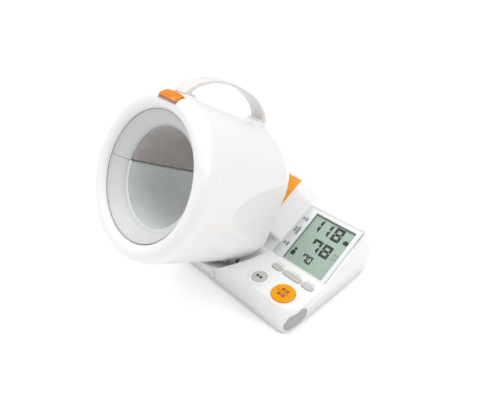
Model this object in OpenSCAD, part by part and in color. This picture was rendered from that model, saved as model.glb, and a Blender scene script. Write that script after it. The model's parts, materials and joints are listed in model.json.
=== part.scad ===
// Arm-in blood pressure monitor: a tilting arm barrel on a low base, with a sloped console beside it.
// Working frame: x = 0 on the left edge of the display frame, -y towards the user, z = 0 on the table.

/* [Arm barrel] */
// Radius of the arm opening at the mouth
bore_r = 64.8; // [58:0.2:68]
// Radius of the fabric sleeve behind the mouth
sleeve_r = 50.5; // [46:0.5:56]
// Outer radius of the barrel behind the mouth ring
barrel_front_r = 83.1; // [80:0.1:92]
// Outer radius of the barrel at its rear end
barrel_rear_r = 80.8; // [78:0.1:90]
// Length from the rear end to the mouth plane
barrel_len = 126.5; // [105:0.5:152]
// Wall of the moulded housings
wall = 2.4; // [1.8:0.1:3]
// Depth of the rounded mouth ring on the outside
ring_depth = 12.2; // [9:0.1:16]
// How far the mouth ring bulges past the mouth plane
ring_bulge = 2.5; // [1:0.1:4]
// Distance from the barrel's axis to its flat side at the rear
flat_rear = 71.7; // [69:0.1:77]
// Length of the flat side
flat_len = 79.5; // [60:0.5:100]

/* [Tilt hinge] */
// Angle of the barrel above level at rest
tilt_rest = 30; // [26:0.5:34]
// Travel up from rest
tilt_up = 5; // [0:1:6]
// Travel down from rest
tilt_down = 8; // [4:1:20]
// Height of the hinge pin above the table
hinge_z = 20.7; // [20.2:0.1:26]
// Depth of the hinge pin behind the display frame's lower edge
hinge_y = -2.8; // [-8:0.1:4]
// Distance of the hinge pin below the barrel's axis
hinge_drop = 70; // [69:0.5:74]
// Distance of the hinge pin behind the barrel's rear end
hinge_back = 8; // [8:0.5:12]
// Radius of the hinge pin
pin_r = 4; // [3:0.1:4.6]
// Radial clearance of the pin in its bushes
running_gap = 0.05; // [0.02:0.01:0.1]

/* [Handle] */
// Width of the handle's strap
handle_w = 21; // [16:1:28]
// Distance of the handle's front foot behind the mouth plane
front_foot = 7; // [6:0.5:10]
// Rise of the arch above the barrel
handle_rise = 30.5; // [26:0.5:38]
// Thickness of the strap at its crown
handle_t = 3.2; // [2.4:0.1:6]

/* [Base and console] */
// Height of the fold between the button face and the display face
fold_z = 46; // [42:0.5:52]
// Depth of that fold
fold_y = 13.3; // [10:0.1:16]
// Slope of the display face
display_tilt = 28; // [24:0.5:32]
// Slope of the button face
button_tilt = 2.3; // [1:0.1:3]
// Width of the display frame
frame_w = 71.1; // [68:0.1:72]
// Length of the display frame up the slope
frame_l = 70.1; // [68:0.1:72]
// Width of the display
lcd_w = 51.8; // [48:0.1:54]
// Length of the display up the slope
lcd_l = 62.2; // [58:0.1:64]
// Front edge of the base at the table
base_front = -33.7; // [-36:0.1:-30]
// Depth of the elbow rest's rear edge
base_rear = 187; // [170:1:205]
// Top of the deck under the barrel
deck_z = 8; // [7.5:0.1:8.5]
// Height of the deck's rim beside the barrel
rim_z = 22; // [18:0.5:26]

/* [Buttons] */
// Radius of the start button
start_r = 12; // [9:0.1:13]
// Radius of the stop button
stop_r = 8; // [7:0.1:10]
// Length of the left key
key_left_len = 13; // [12:0.5:16]
// Length of the middle key
key_middle_len = 23; // [20:0.5:27]
// Length of the right key
key_right_len = 13.5; // [12:0.5:17]
// Width of a key
key_w = 7.2; // [5:0.1:8.6]
// Clearance round buttons, keys and seams
play = 0.25; // [0.2:0.05:0.4]
// Travel of the buttons and keys
travel = 1; // [0.6:0.1:1.4]

/* [Hidden] */

EPS = 0.01;
SLICE = 0.4;                                  // thickness of the discs that span a hull
BIG = 400;
seam = 0.1;                                   // open seam between two fixed mouldings
fine = 96;

// Barrel
flat_gap = 6.4;                               // from the flat side to the display frame
barrel_x = -(flat_rear + flat_gap);
cone_len = barrel_len - ring_depth;
lip_back = 5;                                 // depth of the ring inside the opening
rear_edge = 5.9;                              // rounding of the barrel's rear edge
rear_open_r = 60;
drum_r = bore_r + 3.2;
drum_wall = 2;
sleeve_wall = 6.8;
sleeve_front = barrel_len - 20;
sleeve_back = 4;
bladder_r = sleeve_r + sleeve_wall + 0.2;
bladder_t = 2.6;
core_r = bladder_r + bladder_t + 0.3;
core_t = 1.2;
flat_face_r = barrel_r(flat_len) - 0.2;
flat_angle = atan((flat_face_r - flat_rear) / flat_len);
cover_t = 2.2;
sweep_angles = [-tilt_up, 0, tilt_down / 3, tilt_down * 2 / 3, tilt_down];
barrel_gap = 1.5;                             // air between the swept barrel and the base
nipple_angle = 250;
nipple_z = 24;
nipple_r = 3;
ring_screw_angles = [45, 135, 225, 315];
ring_screw_r = 1.5;
boss_z = 4;
boss_len = 11;
cable_r = 1.2;
cable_ring = (drum_r + barrel_rear_r - wall) / 2;
cable_turn_z = 44;                            // where the cable passes round to the underside

// Hinge
ear_r = 8.2;
ear_in = 22;
ear_out = 33;
post_in = ear_out + 0.4;
post_out = post_in + 8;
bush_r = pin_r + 2;
bracket_t = 2.2;
bracket_d = 11.5;
disc_r = 9.5;
disc_w = 8;
shoe_gap = 0.3;
shoe_len = 24;
shoe_t = 4.4;
shoe_back = disc_r - hinge_back + shoe_gap - 1;

// Handle
handle_base = 80;                             // arch centre, measured from the barrel's axis
seat_top = 84.5;
seat_w = handle_w + 5;
front_seat = [barrel_len - front_foot - 18.5, barrel_len - front_foot];
rear_seat = [-4.5, 12.5];
handle_mid = (front_seat[1] + rear_seat[0]) / 2;      // arch centre, measured from the rear end
handle_a = (front_seat[1] - rear_seat[0]) / 2;        // half the length of the arch
foot_t = 8;                                   // thickness of the strap at its feet
flange_t = 2.4;                               // foot plates that the screws hold
flange_in = 2;                                // from a seat's inner end to its plate's
screw_bite = 1.8;                             // how far a screw goes into its plate
strap_screw_x = [-7, 7];
strap_screw_z = [front_seat[0] + 7, rear_seat[1] - 4.5];
screw_play = 0.2;

// Release button
amber_w = 28;
amber_depth = 6;
amber_low = 75.5;
amber_proud = 2.8;
release_travel = 2;
spring_r = 2.4;
spring_low = 70;                              // the spring is drawn at its pressed length
spring_z = barrel_len - amber_depth + 2.6;
shoe_travel = 1;

// Base outline: [x, y, radius] of the corner circles, at the table and at the console's rim
front_y_top = base_front - 5.3;
foot_right = [[51, base_front + 12.2, 12.2], [24, 45, 40], [18, 95, 45]];
foot_left = [[barrel_x - 50, base_front + 20, 20], [barrel_x, base_rear - 62, 62]];
rim_right = [[56.5, front_y_top + 17, 17], [34.5, 45, 40], [28, 85, 46]];
rim_left = [[barrel_x - 50, base_front + 18, 20], [barrel_x, base_rear - 60, 62]];
seam_x = barrel_x + 34;                       // seam between the deck cover and the console
tray_top = 6;
tray_low = 1.2;
floor_t = 2.4;
console_rim_z = 38;

// Console faces
lcd_x = frame_w - 6.1 - lcd_w;                // left edge of the display, from the frame's left edge
lcd_v = 2.2;
frame_x = -0.3;
side_x = frame_x + frame_w + 3.7;
ridge_v = frame_l + 10;
shoulder_x = -18;
shoulder_n = 18.6;
shoulder_v = 14;
trim_t = 2;
trim_v = frame_l + 14.4;
shoulder_end = 5;                             // from the trim's rear edge to the shoulder's
shoulder_round = 3;
key_v = -13.3;
key_x = [20.3, 40.5, 60.6];
key_switch = -2.4;                            // from a key's middle to its switch
key_len = [key_left_len, key_middle_len, key_right_len];
start_x = 50.3;
stop_x = 17.4;
button_v = -37.2;
well_rise = 1.2;
well_wall = 1.3;
stop_collar = 3.2;
cap_n = -4;                                   // underside of the buttons and keys
board_n = -10;
board_t = 1.6;
key_board_size = [54, 42];
key_board_x = 8;
switch_w = 5.6;
switch_spots = concat([[start_x, button_v], [stop_x, button_v]], [for (x = key_x) [x + key_switch, key_v]]);
face_front = [54, -37.5, 13];                 // right corner of the button face's front edge
face_seam = [seam_x + 7, -40, 6];             // left corner of that edge
ridge_r = 20;                                 // rear right corner of the display face
arm_r = 56.5;                                 // room for the arm behind the barrel
elbow_y = base_rear - 67;
elbow_r = 50;

// Oval cover on the front right corner
oval_c = [65.7, -22.2, 21];
oval_a = 15.4;
oval_b = 6.4;
oval_turn = -33.5;
oval_lean = 75.5;
oval_roll = 133;

// Inside parts
board_z = 12;
board_at = [-2, -8];
board_size = [56, 96];
sensor_at = [10, 40];
sensor_w = 10;
valve_w = 14;
valve_h = 15;
pump_r = 13.5;
pump_c = [34, 60, 30];
pump_len = 52;
motor_len = 32;
valve_c = [4, 96, board_z];
hose_r = 2.6;
hose_guide = [[pump_c[0], pump_c[1] + pump_len + 6.6, pump_c[2]], [pump_c[0], 124, 31], [20, 126, 27],
              [0, 120, 18], [-10, 102, 15], [-10, 70, 14]];
jack_x = 34;
jack_z = 18;
jack_y = 135.2;
jack_r = 2.8;
jack_depth = 10;
feet = [[46, -18], [46, 96], [barrel_x - 44, -10], [barrel_x - 34, 130], [barrel_x + 34, 168]];
console_screws = [[0, -28, 270], [58.6, 40, 0], [-10, 129, 90]];  // with the heading of each boss's rib
deck_screws = [[barrel_x - 58, 30], [barrel_x - 42, 100], [barrel_x + 24, 150]];
tray_screws = concat([for (p = console_screws) [p[0], p[1]]], deck_screws);
screw_r = 1.5;
screw_top = 7.6;

// Frame origin: the middle of the bounding box at the table
box_left = barrel_x - barrel_front_r;
box_right = side_x;
mouth_y = hinge_y + hinge_drop * sin(tilt_rest) - (hinge_back + barrel_len) * cos(tilt_rest);
box_front = mouth_y - bore_low_reach();
box_back = base_rear + 0.6;
origin = [(box_left + box_right) / 2, (box_front + box_back) / 2, 0];

function barrel_r(z) = barrel_rear_r + (barrel_front_r - barrel_rear_r) * z / cone_len;
// Lowest, foremost point of the mouth ring, measured from the mouth's centre
function bore_low_reach() = max([for (t = [0:5:90])
    let (r = ring_mid() + ring_half() * cos(t), z = -ring_depth + (ring_depth + ring_bulge) * sin(t))
    r * sin(tilt_rest) + z * cos(tilt_rest)]);
function ring_mid() = (barrel_front_r + bore_r) / 2;
function ring_half() = (barrel_front_r - bore_r) / 2;
function arc(c, a, b, from, to, n = 24) =
    [for (i = [0:n]) let (t = from + (to - from) * i / n) [c[0] + a * cos(t), c[1] + b * sin(t)]];
// Half section of the mouth ring, grown by g: outside quarter, then the quarter into the opening
function ring_section(g) = concat(
    arc([ring_mid(), barrel_len - ring_depth], ring_half() + g, ring_depth + ring_bulge + g, 0, 90, 10),
    arc([ring_mid(), barrel_len - lip_back], ring_half() + g, lip_back + ring_bulge + g, 99, 180, 9));
function reversed(p) = [for (i = [len(p) - 1:-1:0]) p[i]];

module centred() {
    translate(-origin) children();
}

// Barrel frame: z along the axis from the rear end to the mouth, y up
module in_barrel(turn = 0) {
    translate([barrel_x, hinge_y, hinge_z])
        rotate([90 - tilt_rest + turn, 0, 0])
            translate([0, hinge_drop, hinge_back]) children();
}

module across(x0, x1, r) {
    translate([x0, 0, 0]) rotate([0, 90, 0]) cylinder(r = r, h = x1 - x0, $fn = 64);
}

module on_display() {
    translate([0, fold_y, fold_z]) rotate([display_tilt, 0, 0]) children();
}

module on_buttons() {
    translate([0, fold_y, fold_z]) rotate([button_tilt, 0, 0]) children();
}

module pill(l, w, h) {
    hull() for (s = [-1, 1]) translate([s * (l - w) / 2, 0, 0]) cylinder(d = w, h = h, $fn = 32);
}

module tube(r, t, z0, z1) {
    translate([0, 0, z0]) difference() {
        cylinder(r = r + t, h = z1 - z0, $fn = fine);
        translate([0, 0, -1]) cylinder(r = r, h = z1 - z0 + 2, $fn = fine);
    }
}

// Barrel pieces

module beyond_flat(back) {
    translate([flat_rear - back, 0, 0]) rotate([0, flat_angle, 0])
        translate([0, -BIG / 4, -40]) cube([60, BIG / 2, BIG / 2]);
}

module barrel_cone(grow, z0, z1) {
    translate([0, 0, z0])
        cylinder(r1 = barrel_r(z0) + grow, r2 = barrel_r(z1) + grow, h = z1 - z0, $fn = fine);
}

module amber_pocket(gap) {
    translate([-amber_w / 2 - gap, amber_low - gap - release_travel, barrel_len - amber_depth - gap])
        cube([amber_w + 2 * gap, 30, 20]);
}

module mouth_ring() {
    color("white") in_barrel() difference() {
        union() {
            rotate_extrude($fn = fine) polygon(concat(ring_section(0), reversed(ring_section(-wall))));
            translate([0, drum_r + seam, spring_z]) rotate([-90, 0, 0])
                cylinder(r = spring_r + 0.6, h = spring_low - drum_r - 2 * seam, $fn = 32);
        }
        amber_pocket(play);
    }
}

module barrel_shell() {
    color("white") in_barrel() difference() {
        barrel_cone(0, rear_edge + seam, cone_len);
        translate([0, 0, -1]) barrel_cone(-wall, rear_edge, cone_len + 2);
        beyond_flat(cover_t);
        for (x = strap_screw_x, z = strap_screw_z)
            translate([x, 0, z]) rotate([-90, 0, 0]) cylinder(r = 1.7, h = 100, $fn = 24);
    }
}

module side_cover() {
    color("gainsboro") in_barrel() difference() {
        intersection() {
            barrel_cone(0, seam, cone_len);
            beyond_flat(cover_t - seam);
        }
        beyond_flat(0);
    }
}

// Slot in the barrel's rear wall that the lock disc stands in
module disc_slot() {
    translate([-disc_w / 2 - 1, -hinge_drop - disc_r - 2, -1]) cube([disc_w + 2, 2 * disc_r + 2, 4]);
}

module rear_ring() {
    ring = concat([[rear_open_r, 0]],
                  arc([barrel_rear_r - rear_edge, rear_edge], rear_edge, rear_edge, -90, 0, 8),
                  reversed(arc([barrel_rear_r - rear_edge, rear_edge], rear_edge - wall,
                               rear_edge - wall, -90, 0, 8)),
                  [[rear_open_r + wall, wall], [rear_open_r + wall, 7], [rear_open_r, 7]]);
    color("white") in_barrel() difference() {
        union() {
            rotate_extrude($fn = fine) polygon(ring);
            for (s = [-1, 1]) translate([0, -hinge_drop, -hinge_back]) {
                across(s * (ear_in + ear_out) / 2 - (ear_out - ear_in) / 2,
                       s * (ear_in + ear_out) / 2 + (ear_out - ear_in) / 2, ear_r);
                translate([s * (ear_in + ear_out) / 2 - (ear_out - ear_in) / 2, -ear_r, 0])
                    cube([ear_out - ear_in, 2 * ear_r, hinge_back + 1]);
            }
        }
        beyond_flat(cover_t);
        translate([0, -hinge_drop, -hinge_back]) across(-60, 60, bush_r);
        disc_slot();
        for (a = ring_screw_angles) rotate(a)
            translate([ring_mid(), 0, -1]) cylinder(r = ring_screw_r + 0.1, h = 8, $fn = 24);
    }
}

module rear_ring_screws() {
    color("silver") in_barrel() for (a = ring_screw_angles) rotate(a) translate([ring_mid(), 0, 0]) {
        translate([0, 0, -1.6]) cylinder(r = 2.8, h = 1.6, $fn = 24);
        translate([0, 0, -EPS]) cylinder(r = ring_screw_r, h = 9, $fn = 24);
    }
}

module inner_drum() {
    color("whitesmoke") in_barrel() difference() {
        union() {
            tube(drum_r - drum_wall, drum_wall, wall + seam, barrel_len - lip_back - seam);
            for (a = ring_screw_angles) rotate(a) {
                translate([ring_mid(), 0, boss_z]) cylinder(r = ring_screw_r + 1.7, h = boss_len, $fn = 32);
                translate([drum_r - 1, -1.5, 7 + seam]) cube([ring_mid() - drum_r, 3, boss_z + boss_len - 7 - seam]);
            }
        }
        for (a = ring_screw_angles) rotate(a)
            translate([ring_mid(), 0, 0]) cylinder(r = ring_screw_r + 0.1, h = boss_z + boss_len + 1, $fn = 24);
        disc_slot();
        rotate(nipple_angle) translate([drum_r - 4, 0, nipple_z])
            rotate([0, 90, 0]) cylinder(r = nipple_r + seam, h = 8, $fn = 32);
    }
}

module entry_funnel() {
    z = barrel_len - lip_back;
    color("lightgrey") in_barrel() rotate_extrude($fn = fine)
        polygon([[bore_r - 0.2, z + 1], [bore_r - 0.2, z - seam], [bore_r + 1, z - seam], [bore_r + 1, z - 3.4],
                 [sleeve_r + 1.6, sleeve_front], [sleeve_r, sleeve_front], [sleeve_r, sleeve_front + 1.6],
                 [bore_r - 0.8, z - 1.6]]);
}

module half_sleeve(up) {
    difference() {
        tube(sleeve_r, sleeve_wall, sleeve_back, sleeve_front - seam);
        translate([-BIG / 2, up ? -BIG / 2 : -0.4, -1]) cube([BIG, BIG / 2 + 0.4, BIG]);
    }
}

module cuff_upper() {
    color("dimgray") in_barrel() half_sleeve(true);
}

module cuff_lower() {
    color("darkgray") in_barrel() half_sleeve(false);
}

module open_tube(r, t, z0, z1, slot) {
    difference() {
        tube(r, t, z0, z1);
        translate([-BIG / 2 - 20, -slot / 2, -1]) cube([BIG / 2, slot, BIG]);
    }
}

module air_bladder() {
    color("slategray") in_barrel() open_tube(bladder_r, bladder_t, 12, sleeve_front - 8, 40);
}

module cuff_core() {
    color("ivory") in_barrel() difference() {
        open_tube(core_r, core_t, 9, sleeve_front - 4, 24);
        rotate(nipple_angle) translate([core_r - 4, 0, nipple_z])
            rotate([0, 90, 0]) cylinder(r = nipple_r + seam, h = 8, $fn = 32);
    }
}

module bladder_nipple() {
    foot = bladder_r + bladder_t + seam;
    color("black") in_barrel() rotate(nipple_angle) translate([foot, 0, nipple_z]) rotate([0, 90, 0]) difference() {
        union() {
            cylinder(r = nipple_r, h = drum_r - foot + 4.4, $fn = 32);
            translate([0, 0, drum_r - foot + 0.3]) cylinder(r = nipple_r + 1.4, h = 1.4, $fn = 32);
        }
        translate([0, 0, -1]) cylinder(r = nipple_r / 2, h = 20, $fn = 24);
    }
}

module handle_strap() {
    outer = arc([0, 0], handle_a, handle_rise, 0, 180, 40);
    inner = arc([0, 0], handle_a - foot_t, handle_rise - handle_t, 180, 0, 36);
    color("gainsboro") in_barrel() difference() {
        union() {
            difference() {
                translate([handle_w / 2, handle_base, handle_mid]) rotate([0, -90, 0]) linear_extrude(handle_w)
                    polygon(concat(outer, inner));
                translate([-BIG / 2, seat_top - BIG, -BIG / 2]) cube([BIG, BIG, BIG]);
            }
            foot_plate(front_seat[0] + flange_in, front_seat[1] - foot_t + 1);
            foot_plate(rear_seat[0] + foot_t - 1, rear_seat[1] - flange_in);
        }
        for (x = strap_screw_x, z = strap_screw_z) translate([x, seat_top - 1, z])
            rotate([-90, 0, 0]) cylinder(r = screw_r + 0.05, h = 1 + screw_bite + screw_play, $fn = 24);
    }
}

module foot_plate(z0, z1) {
    translate([-handle_w / 2, seat_top, z0]) cube([handle_w, flange_t, z1 - z0]);
}

module handle_seat(span) {
    difference() {
        translate([-seat_w / 2, handle_base - 14, span[0]])
            cube([seat_w, seat_top - handle_base + 14, span[1] - span[0]]);
        translate([0, 0, -EPS]) barrel_cone(seam, 0, cone_len);
        translate([0, 0, cone_len - 1]) cylinder(r = barrel_front_r + seam, h = 20, $fn = fine);
        for (x = strap_screw_x, z = strap_screw_z)
            translate([x, 0, z]) rotate([-90, 0, 0]) cylinder(r = 1.7, h = 100, $fn = 24);
    }
}

module handle_front_seat() {
    color("white") in_barrel() handle_seat(front_seat);
}

module handle_rear_seat() {
    color("white") in_barrel() handle_seat(rear_seat);
}

module handle_screws() {
    color("silver") in_barrel() for (x = strap_screw_x, z = strap_screw_z)
        translate([x, barrel_r(z) - wall - 2.6, z]) rotate([-90, 0, 0]) {
            cylinder(r = 2.9, h = 1.8, $fn = 24);
            cylinder(r = screw_r, h = seat_top + screw_bite - barrel_r(z) + wall + 2.6, $fn = 24);
        }
}

module release_button() {
    color("orange") in_barrel() intersection() {
        rotate_extrude($fn = fine) polygon(ring_section(amber_proud));
        translate([-amber_w / 2, amber_low, barrel_len - amber_depth]) cube([amber_w, 30, 20]);
    }
}

module release_spring() {
    color("silver") in_barrel() translate([0, spring_low, spring_z])
        rotate([-90, 0, 0]) tube(spring_r - 0.6, 0.6, 0, amber_low - release_travel - spring_low - 2 * seam);
}

module release_cable() {
    low = shoe_back + shoe_len + shoe_travel + 0.3;
    color("black") in_barrel() {
        translate([0, cable_ring, cable_turn_z])
            cylinder(r = cable_r, h = cone_len - cable_turn_z - 4, $fn = 20);
        translate([0, cable_ring, cable_turn_z]) sphere(r = cable_r, $fn = 20);
        translate([0, 0, cable_turn_z]) rotate(90) rotate_extrude(angle = 180, $fn = fine)
            translate([cable_ring, 0]) circle(r = cable_r, $fn = 20);
        translate([0, -cable_ring, cable_turn_z]) sphere(r = cable_r, $fn = 20);
        translate([0, -cable_ring, low]) cylinder(r = cable_r, h = cable_turn_z - low, $fn = 20);
    }
}

module lock_shoe() {
    color("darkslategray") in_barrel() difference() {
        translate([-disc_w / 2 + 0.6, -drum_r - 0.5 - shoe_t, shoe_back])
            cube([disc_w - 1.2, shoe_t, shoe_len]);
        translate([0, -hinge_drop, -hinge_back]) across(-20, 20, disc_r + shoe_gap);
    }
}

module hinge_bushes() {
    color("dimgray") in_barrel() translate([0, -hinge_drop, -hinge_back]) for (s = [-1, 1])
        difference() {
            across(s * (ear_in + ear_out) / 2 - (ear_out - ear_in) / 2,
                   s * (ear_in + ear_out) / 2 + (ear_out - ear_in) / 2, bush_r);
            across(-60, 60, pin_r + running_gap);
        }
}

// Base pieces

// Discs over which a hull is stretched, their tops at height z
module plan_discs(circles, z, grow) {
    for (c = circles) translate([c[0], c[1], z - SLICE]) cylinder(r = c[2] + grow, h = SLICE, $fn = 32);
}

module base_tray() {
    all_foot = concat(foot_right, foot_left);
    color("white") difference() {
        hull() {
            plan_discs(all_foot, tray_low + SLICE, -2.5);
            plan_discs(all_foot, tray_low + 2.5, 0);
            plan_discs(all_foot, tray_top, 0.4);
        }
        hull() {
            plan_discs(all_foot, tray_low + floor_t + SLICE, -4.6);
            plan_discs(all_foot, tray_top + 1, -2);
        }
        for (p = feet) translate([p[0], p[1], 0]) cylinder(r = 7, h = tray_low + 0.8, $fn = 48);
        for (p = tray_screws) translate([p[0], p[1], 0]) {
            cylinder(r = screw_r + screw_play, h = 10, $fn = 24);
            cylinder(r = 3.4, h = tray_low + 1, $fn = 24);
        }
    }
}

module rubber_feet() {
    color("dimgray") for (p = feet) translate([p[0], p[1], 0]) {
        cylinder(r = 6.2, h = 1, $fn = 48);
        translate([0, 0, 0.8]) cylinder(r = 6.9, h = tray_low, $fn = 48);
    }
}

module case_screws() {
    color("silver") for (p = tray_screws) translate([p[0], p[1], 0]) {
        translate([0, 0, tray_low + 1 - 1.6]) cylinder(r = 3, h = 1.6, $fn = 24);
        translate([0, 0, tray_low + 1 - EPS]) cylinder(r = screw_r, h = screw_top - tray_low - 1, $fn = 24);
    }
}

// Everything that the base leaves open: the swept barrel, the arm behind it and the hinge
module arm_room(grow) {
    hull() for (a = sweep_angles) in_barrel(a)
        translate([0, 0, -barrel_gap - grow])
            cylinder(r = barrel_front_r + barrel_gap + grow, h = barrel_len + 40, $fn = 48);
    intersection() {
        union() {
            in_barrel() translate([0, 0, -BIG]) cylinder(r = arm_r + grow, h = BIG, $fn = fine);
            translate([barrel_x, elbow_y, 0]) cylinder(r = elbow_r + grow, h = 200, $fn = fine);
            translate([barrel_x - post_out - 4 - grow, hinge_y - bracket_d - 3 - grow, 0])
                cube([2 * (post_out + 4 + grow), 2 * (bracket_d + 3 + grow), 100]);
        }
        translate([-BIG, -BIG, deck_z - grow]) cube([2 * BIG, 2 * BIG, BIG]);
    }
}

module deck_block(inset) {
    z_in = inset > 0 ? 1 : 0;
    intersection() {
        hull() {
            plan_discs(concat(foot_left, foot_right), tray_top + seam + SLICE - z_in, 0.4 - inset);
            plan_discs(concat(rim_left, foot_right), rim_z - 3 - inset, -inset);
            plan_discs(concat(rim_left, foot_right), rim_z - inset, -3 - inset);
        }
        translate([-BIG, -BIG, -1]) cube([BIG + seam_x - seam - inset, 2 * BIG, BIG]);
    }
}

module deck_cover() {
    color("white") difference() {
        deck_block(0);
        difference() {
            deck_block(wall);
            arm_room(wall);
        }
        arm_room(0);
        for (p = deck_screws) translate([p[0], p[1], 0]) cylinder(r = screw_r + 0.1, h = screw_top + seam, $fn = 24);
    }
}

module shoulder_profile(inset) {
    polygon([[shoulder_x + inset * 0.3, shoulder_n - inset], [frame_x - inset, -inset - EPS],
             [frame_x + 4, -30], [seam_x + inset, -30], [seam_x + inset, shoulder_n - inset]]);
}

// Everything above the button face and the display face
module above_faces(inset) {
    intersection() {
        on_buttons() translate([-BIG / 2, -BIG / 2, -inset]) cube([BIG, BIG, BIG]);
        on_display() translate([-BIG / 2, -BIG / 2, -inset]) cube([BIG, BIG, BIG]);
    }
}

module console_block(inset) {
    z_in = inset > 0 ? 1 : 0;
    low_left = [[seam_x + 3 + inset, base_front + 3, 3], [seam_x + 3 + inset, 130, 3]];
    top_left = [[seam_x + 3 + inset, front_y_top + 5, 3], [seam_x + 3 + inset, 125, 3]];
    intersection() {
        union() {
            difference() {
                hull() {
                    plan_discs(concat(foot_right, low_left), tray_top + seam + SLICE - z_in, 0.4 - inset);
                    plan_discs(concat(rim_right, top_left), console_rim_z - inset, -inset);
                    on_buttons() plan_discs([face_front, face_seam], 1 - inset, -inset * 0.9);
                    on_display() {
                        plan_discs([[side_x - 2 - ridge_r, ridge_v - ridge_r, ridge_r], [side_x - 6.4, 3, 6]],
                                   1 - inset, -inset * 0.9);
                        translate([frame_x - 6, ridge_v - 22, 1 - SLICE - inset]) cube([12, 20 - inset, SLICE]);
                    }
                }
                above_faces(inset);
            }
            hull() on_display() {
                translate([0, trim_v - inset, 0]) rotate([90, 0, 0])
                    linear_extrude(trim_v - shoulder_v - 2 * inset) shoulder_profile(inset);
                translate([0, trim_v + shoulder_end - inset, 0]) rotate([90, 0, 0])
                    linear_extrude(1) shoulder_profile(inset + shoulder_round);
            }
        }
        translate([seam_x + inset, -BIG / 2, tray_top + seam - z_in]) cube([BIG, BIG, BIG]);
    }
}

module trim_outline(gap, n0, n1) {
    on_display() translate([seam_x - 1, shoulder_v, n0])
        cube([shoulder_x - seam_x + 1 - gap, trim_v - shoulder_v - gap, n1 - n0]);
}

// Frame on the front right corner: z out of the case, x along the oval
module at_oval() {
    translate(oval_c) rotate([0, 0, oval_turn]) rotate([0, oval_lean, 0]) rotate([0, 0, oval_roll]) children();
}

module oval(grow, h) {
    at_oval() translate([0, 0, 3 - h]) linear_extrude(h)
        polygon(arc([0, 0], oval_a + grow, oval_b + grow, 0, 350, 35));
}

module console_shell() {
    color("white") difference() {
        union() {
            difference() {
                console_block(0);
                difference() {
                    console_block(wall);
                    arm_room(wall);
                }
                arm_room(0);
            }
            intersection() {
                for (p = console_screws) translate([p[0], p[1], tray_top + seam]) rotate(p[2]) {
                    cylinder(r = screw_r + 2, h = 10, $fn = 32);
                    translate([0, -1.2, 0]) cube([12, 2.4, 10]);
                }
                console_block(0.4);
            }
            on_buttons() {
                translate([start_x, button_v, -5]) cylinder(r = start_r + play + well_wall, h = 5 + well_rise, $fn = 64);
                translate([stop_x, button_v, -5]) cylinder(r = stop_r + play + stop_collar, h = 5 + well_rise, $fn = 64);
            }
        }
        on_buttons() {
            translate([start_x, button_v, -8]) cylinder(r = start_r + play, h = 20, $fn = 64);
            translate([stop_x, button_v, -8]) cylinder(r = stop_r + play, h = 20, $fn = 64);
            for (i = [0:2]) translate([key_x[i], key_v, -8]) pill(key_len[i] + 2 * play, key_w + 2 * play, 20);
        }
        on_display() {
            translate([frame_x - seam, -seam, -wall + 0.4]) cube([frame_w + 2 * seam, frame_l + 2 * seam, 20]);
            translate([lcd_x - 3, lcd_v - 0.4, -12]) cube([lcd_w + 6, lcd_l + 3, 20]);
        }
        trim_outline(-seam, shoulder_n - trim_t, shoulder_n + 5);
        oval(seam, 6);
        translate([jack_x, jack_y - 15, jack_z]) rotate([-90, 0, 0]) cylinder(r = 5.4, h = 30, $fn = 48);
        for (p = console_screws) translate([p[0], p[1], 0]) cylinder(r = screw_r + 0.1, h = 12, $fn = 24);
    }
}

module shoulder_trim() {
    color("orange") difference() {
        trim_outline(seam, shoulder_n - trim_t + seam, shoulder_n);
        arm_room(0);
    }
}

module elbow_pad() {
    color("silver") translate([barrel_x, 0, deck_z + seam]) difference() {
        hull() {
            translate([0, elbow_y - 6, 0]) cylinder(r = 40, h = 2, $fn = 32);
            translate([0, elbow_y + 4, 0]) cylinder(r = 40, h = 2, $fn = 32);
            translate([0, elbow_y - 6, 4]) cylinder(r = 37, h = 1, $fn = 32);
            translate([0, elbow_y + 4, 4]) cylinder(r = 37, h = 1, $fn = 32);
        }
        translate([0, elbow_y, 124.5]) sphere(r = 122, $fn = fine);
    }
}

module hinge_bracket() {
    color("whitesmoke") difference() {
        union() {
            translate([barrel_x - post_out, hinge_y - bracket_d, deck_z + seam])
                cube([2 * post_out, 2 * bracket_d, bracket_t]);
            for (s = [-1, 1]) translate([barrel_x + s * (post_in + post_out) / 2, hinge_y, 0]) {
                translate([-(post_out - post_in) / 2, 0, hinge_z])
                    across(0, post_out - post_in, ear_r);
                translate([-(post_out - post_in) / 2, -ear_r, deck_z + seam + 1])
                    cube([post_out - post_in, 2 * ear_r, hinge_z - deck_z - 1]);
            }
        }
        translate([barrel_x, hinge_y, hinge_z]) across(-60, 60, pin_r);
    }
}

module hinge_pin() {
    color("silver") translate([barrel_x, hinge_y, hinge_z]) across(-post_out, post_out, pin_r);
}

module lock_disc() {
    color("dimgray") translate([barrel_x, hinge_y, hinge_z]) difference() {
        union() {
            across(-disc_w / 2, disc_w / 2, disc_r);
            translate([-disc_w / 2, -5, deck_z + seam + bracket_t - hinge_z])
                cube([disc_w, 10, hinge_z - deck_z - bracket_t]);
        }
        across(-60, 60, pin_r);
    }
}

module display_frame() {
    color("gainsboro") on_display() difference() {
        translate([frame_x, 0, -wall + 0.5]) cube([frame_w, frame_l, wall - 0.2]);
        translate([lcd_x, lcd_v, -10]) cube([lcd_w, lcd_l, 20]);
        translate([lcd_x - 1, lcd_v - 1, -wall + 0.3]) cube([lcd_w + 2, lcd_l + 2, 1]);
    }
}

module display_window() {
    color("lightcyan", 0.4) on_display() translate([lcd_x - 0.9, lcd_v - 0.9, -wall + 0.5])
        cube([lcd_w + 1.8, lcd_l + 1.8, 0.8]);
}

module lcd_module() {
    color("darkseagreen") on_display() {
        translate([lcd_x - 1.5, lcd_v + 0.2, -wall - 1.6]) cube([lcd_w + 3, lcd_l + 1, 1.8]);
        translate([lcd_x - 2, lcd_v + 0.4, -wall - 5]) cube([lcd_w + 4, lcd_l + 0.6, 3.4 + EPS]);
    }
}

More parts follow.
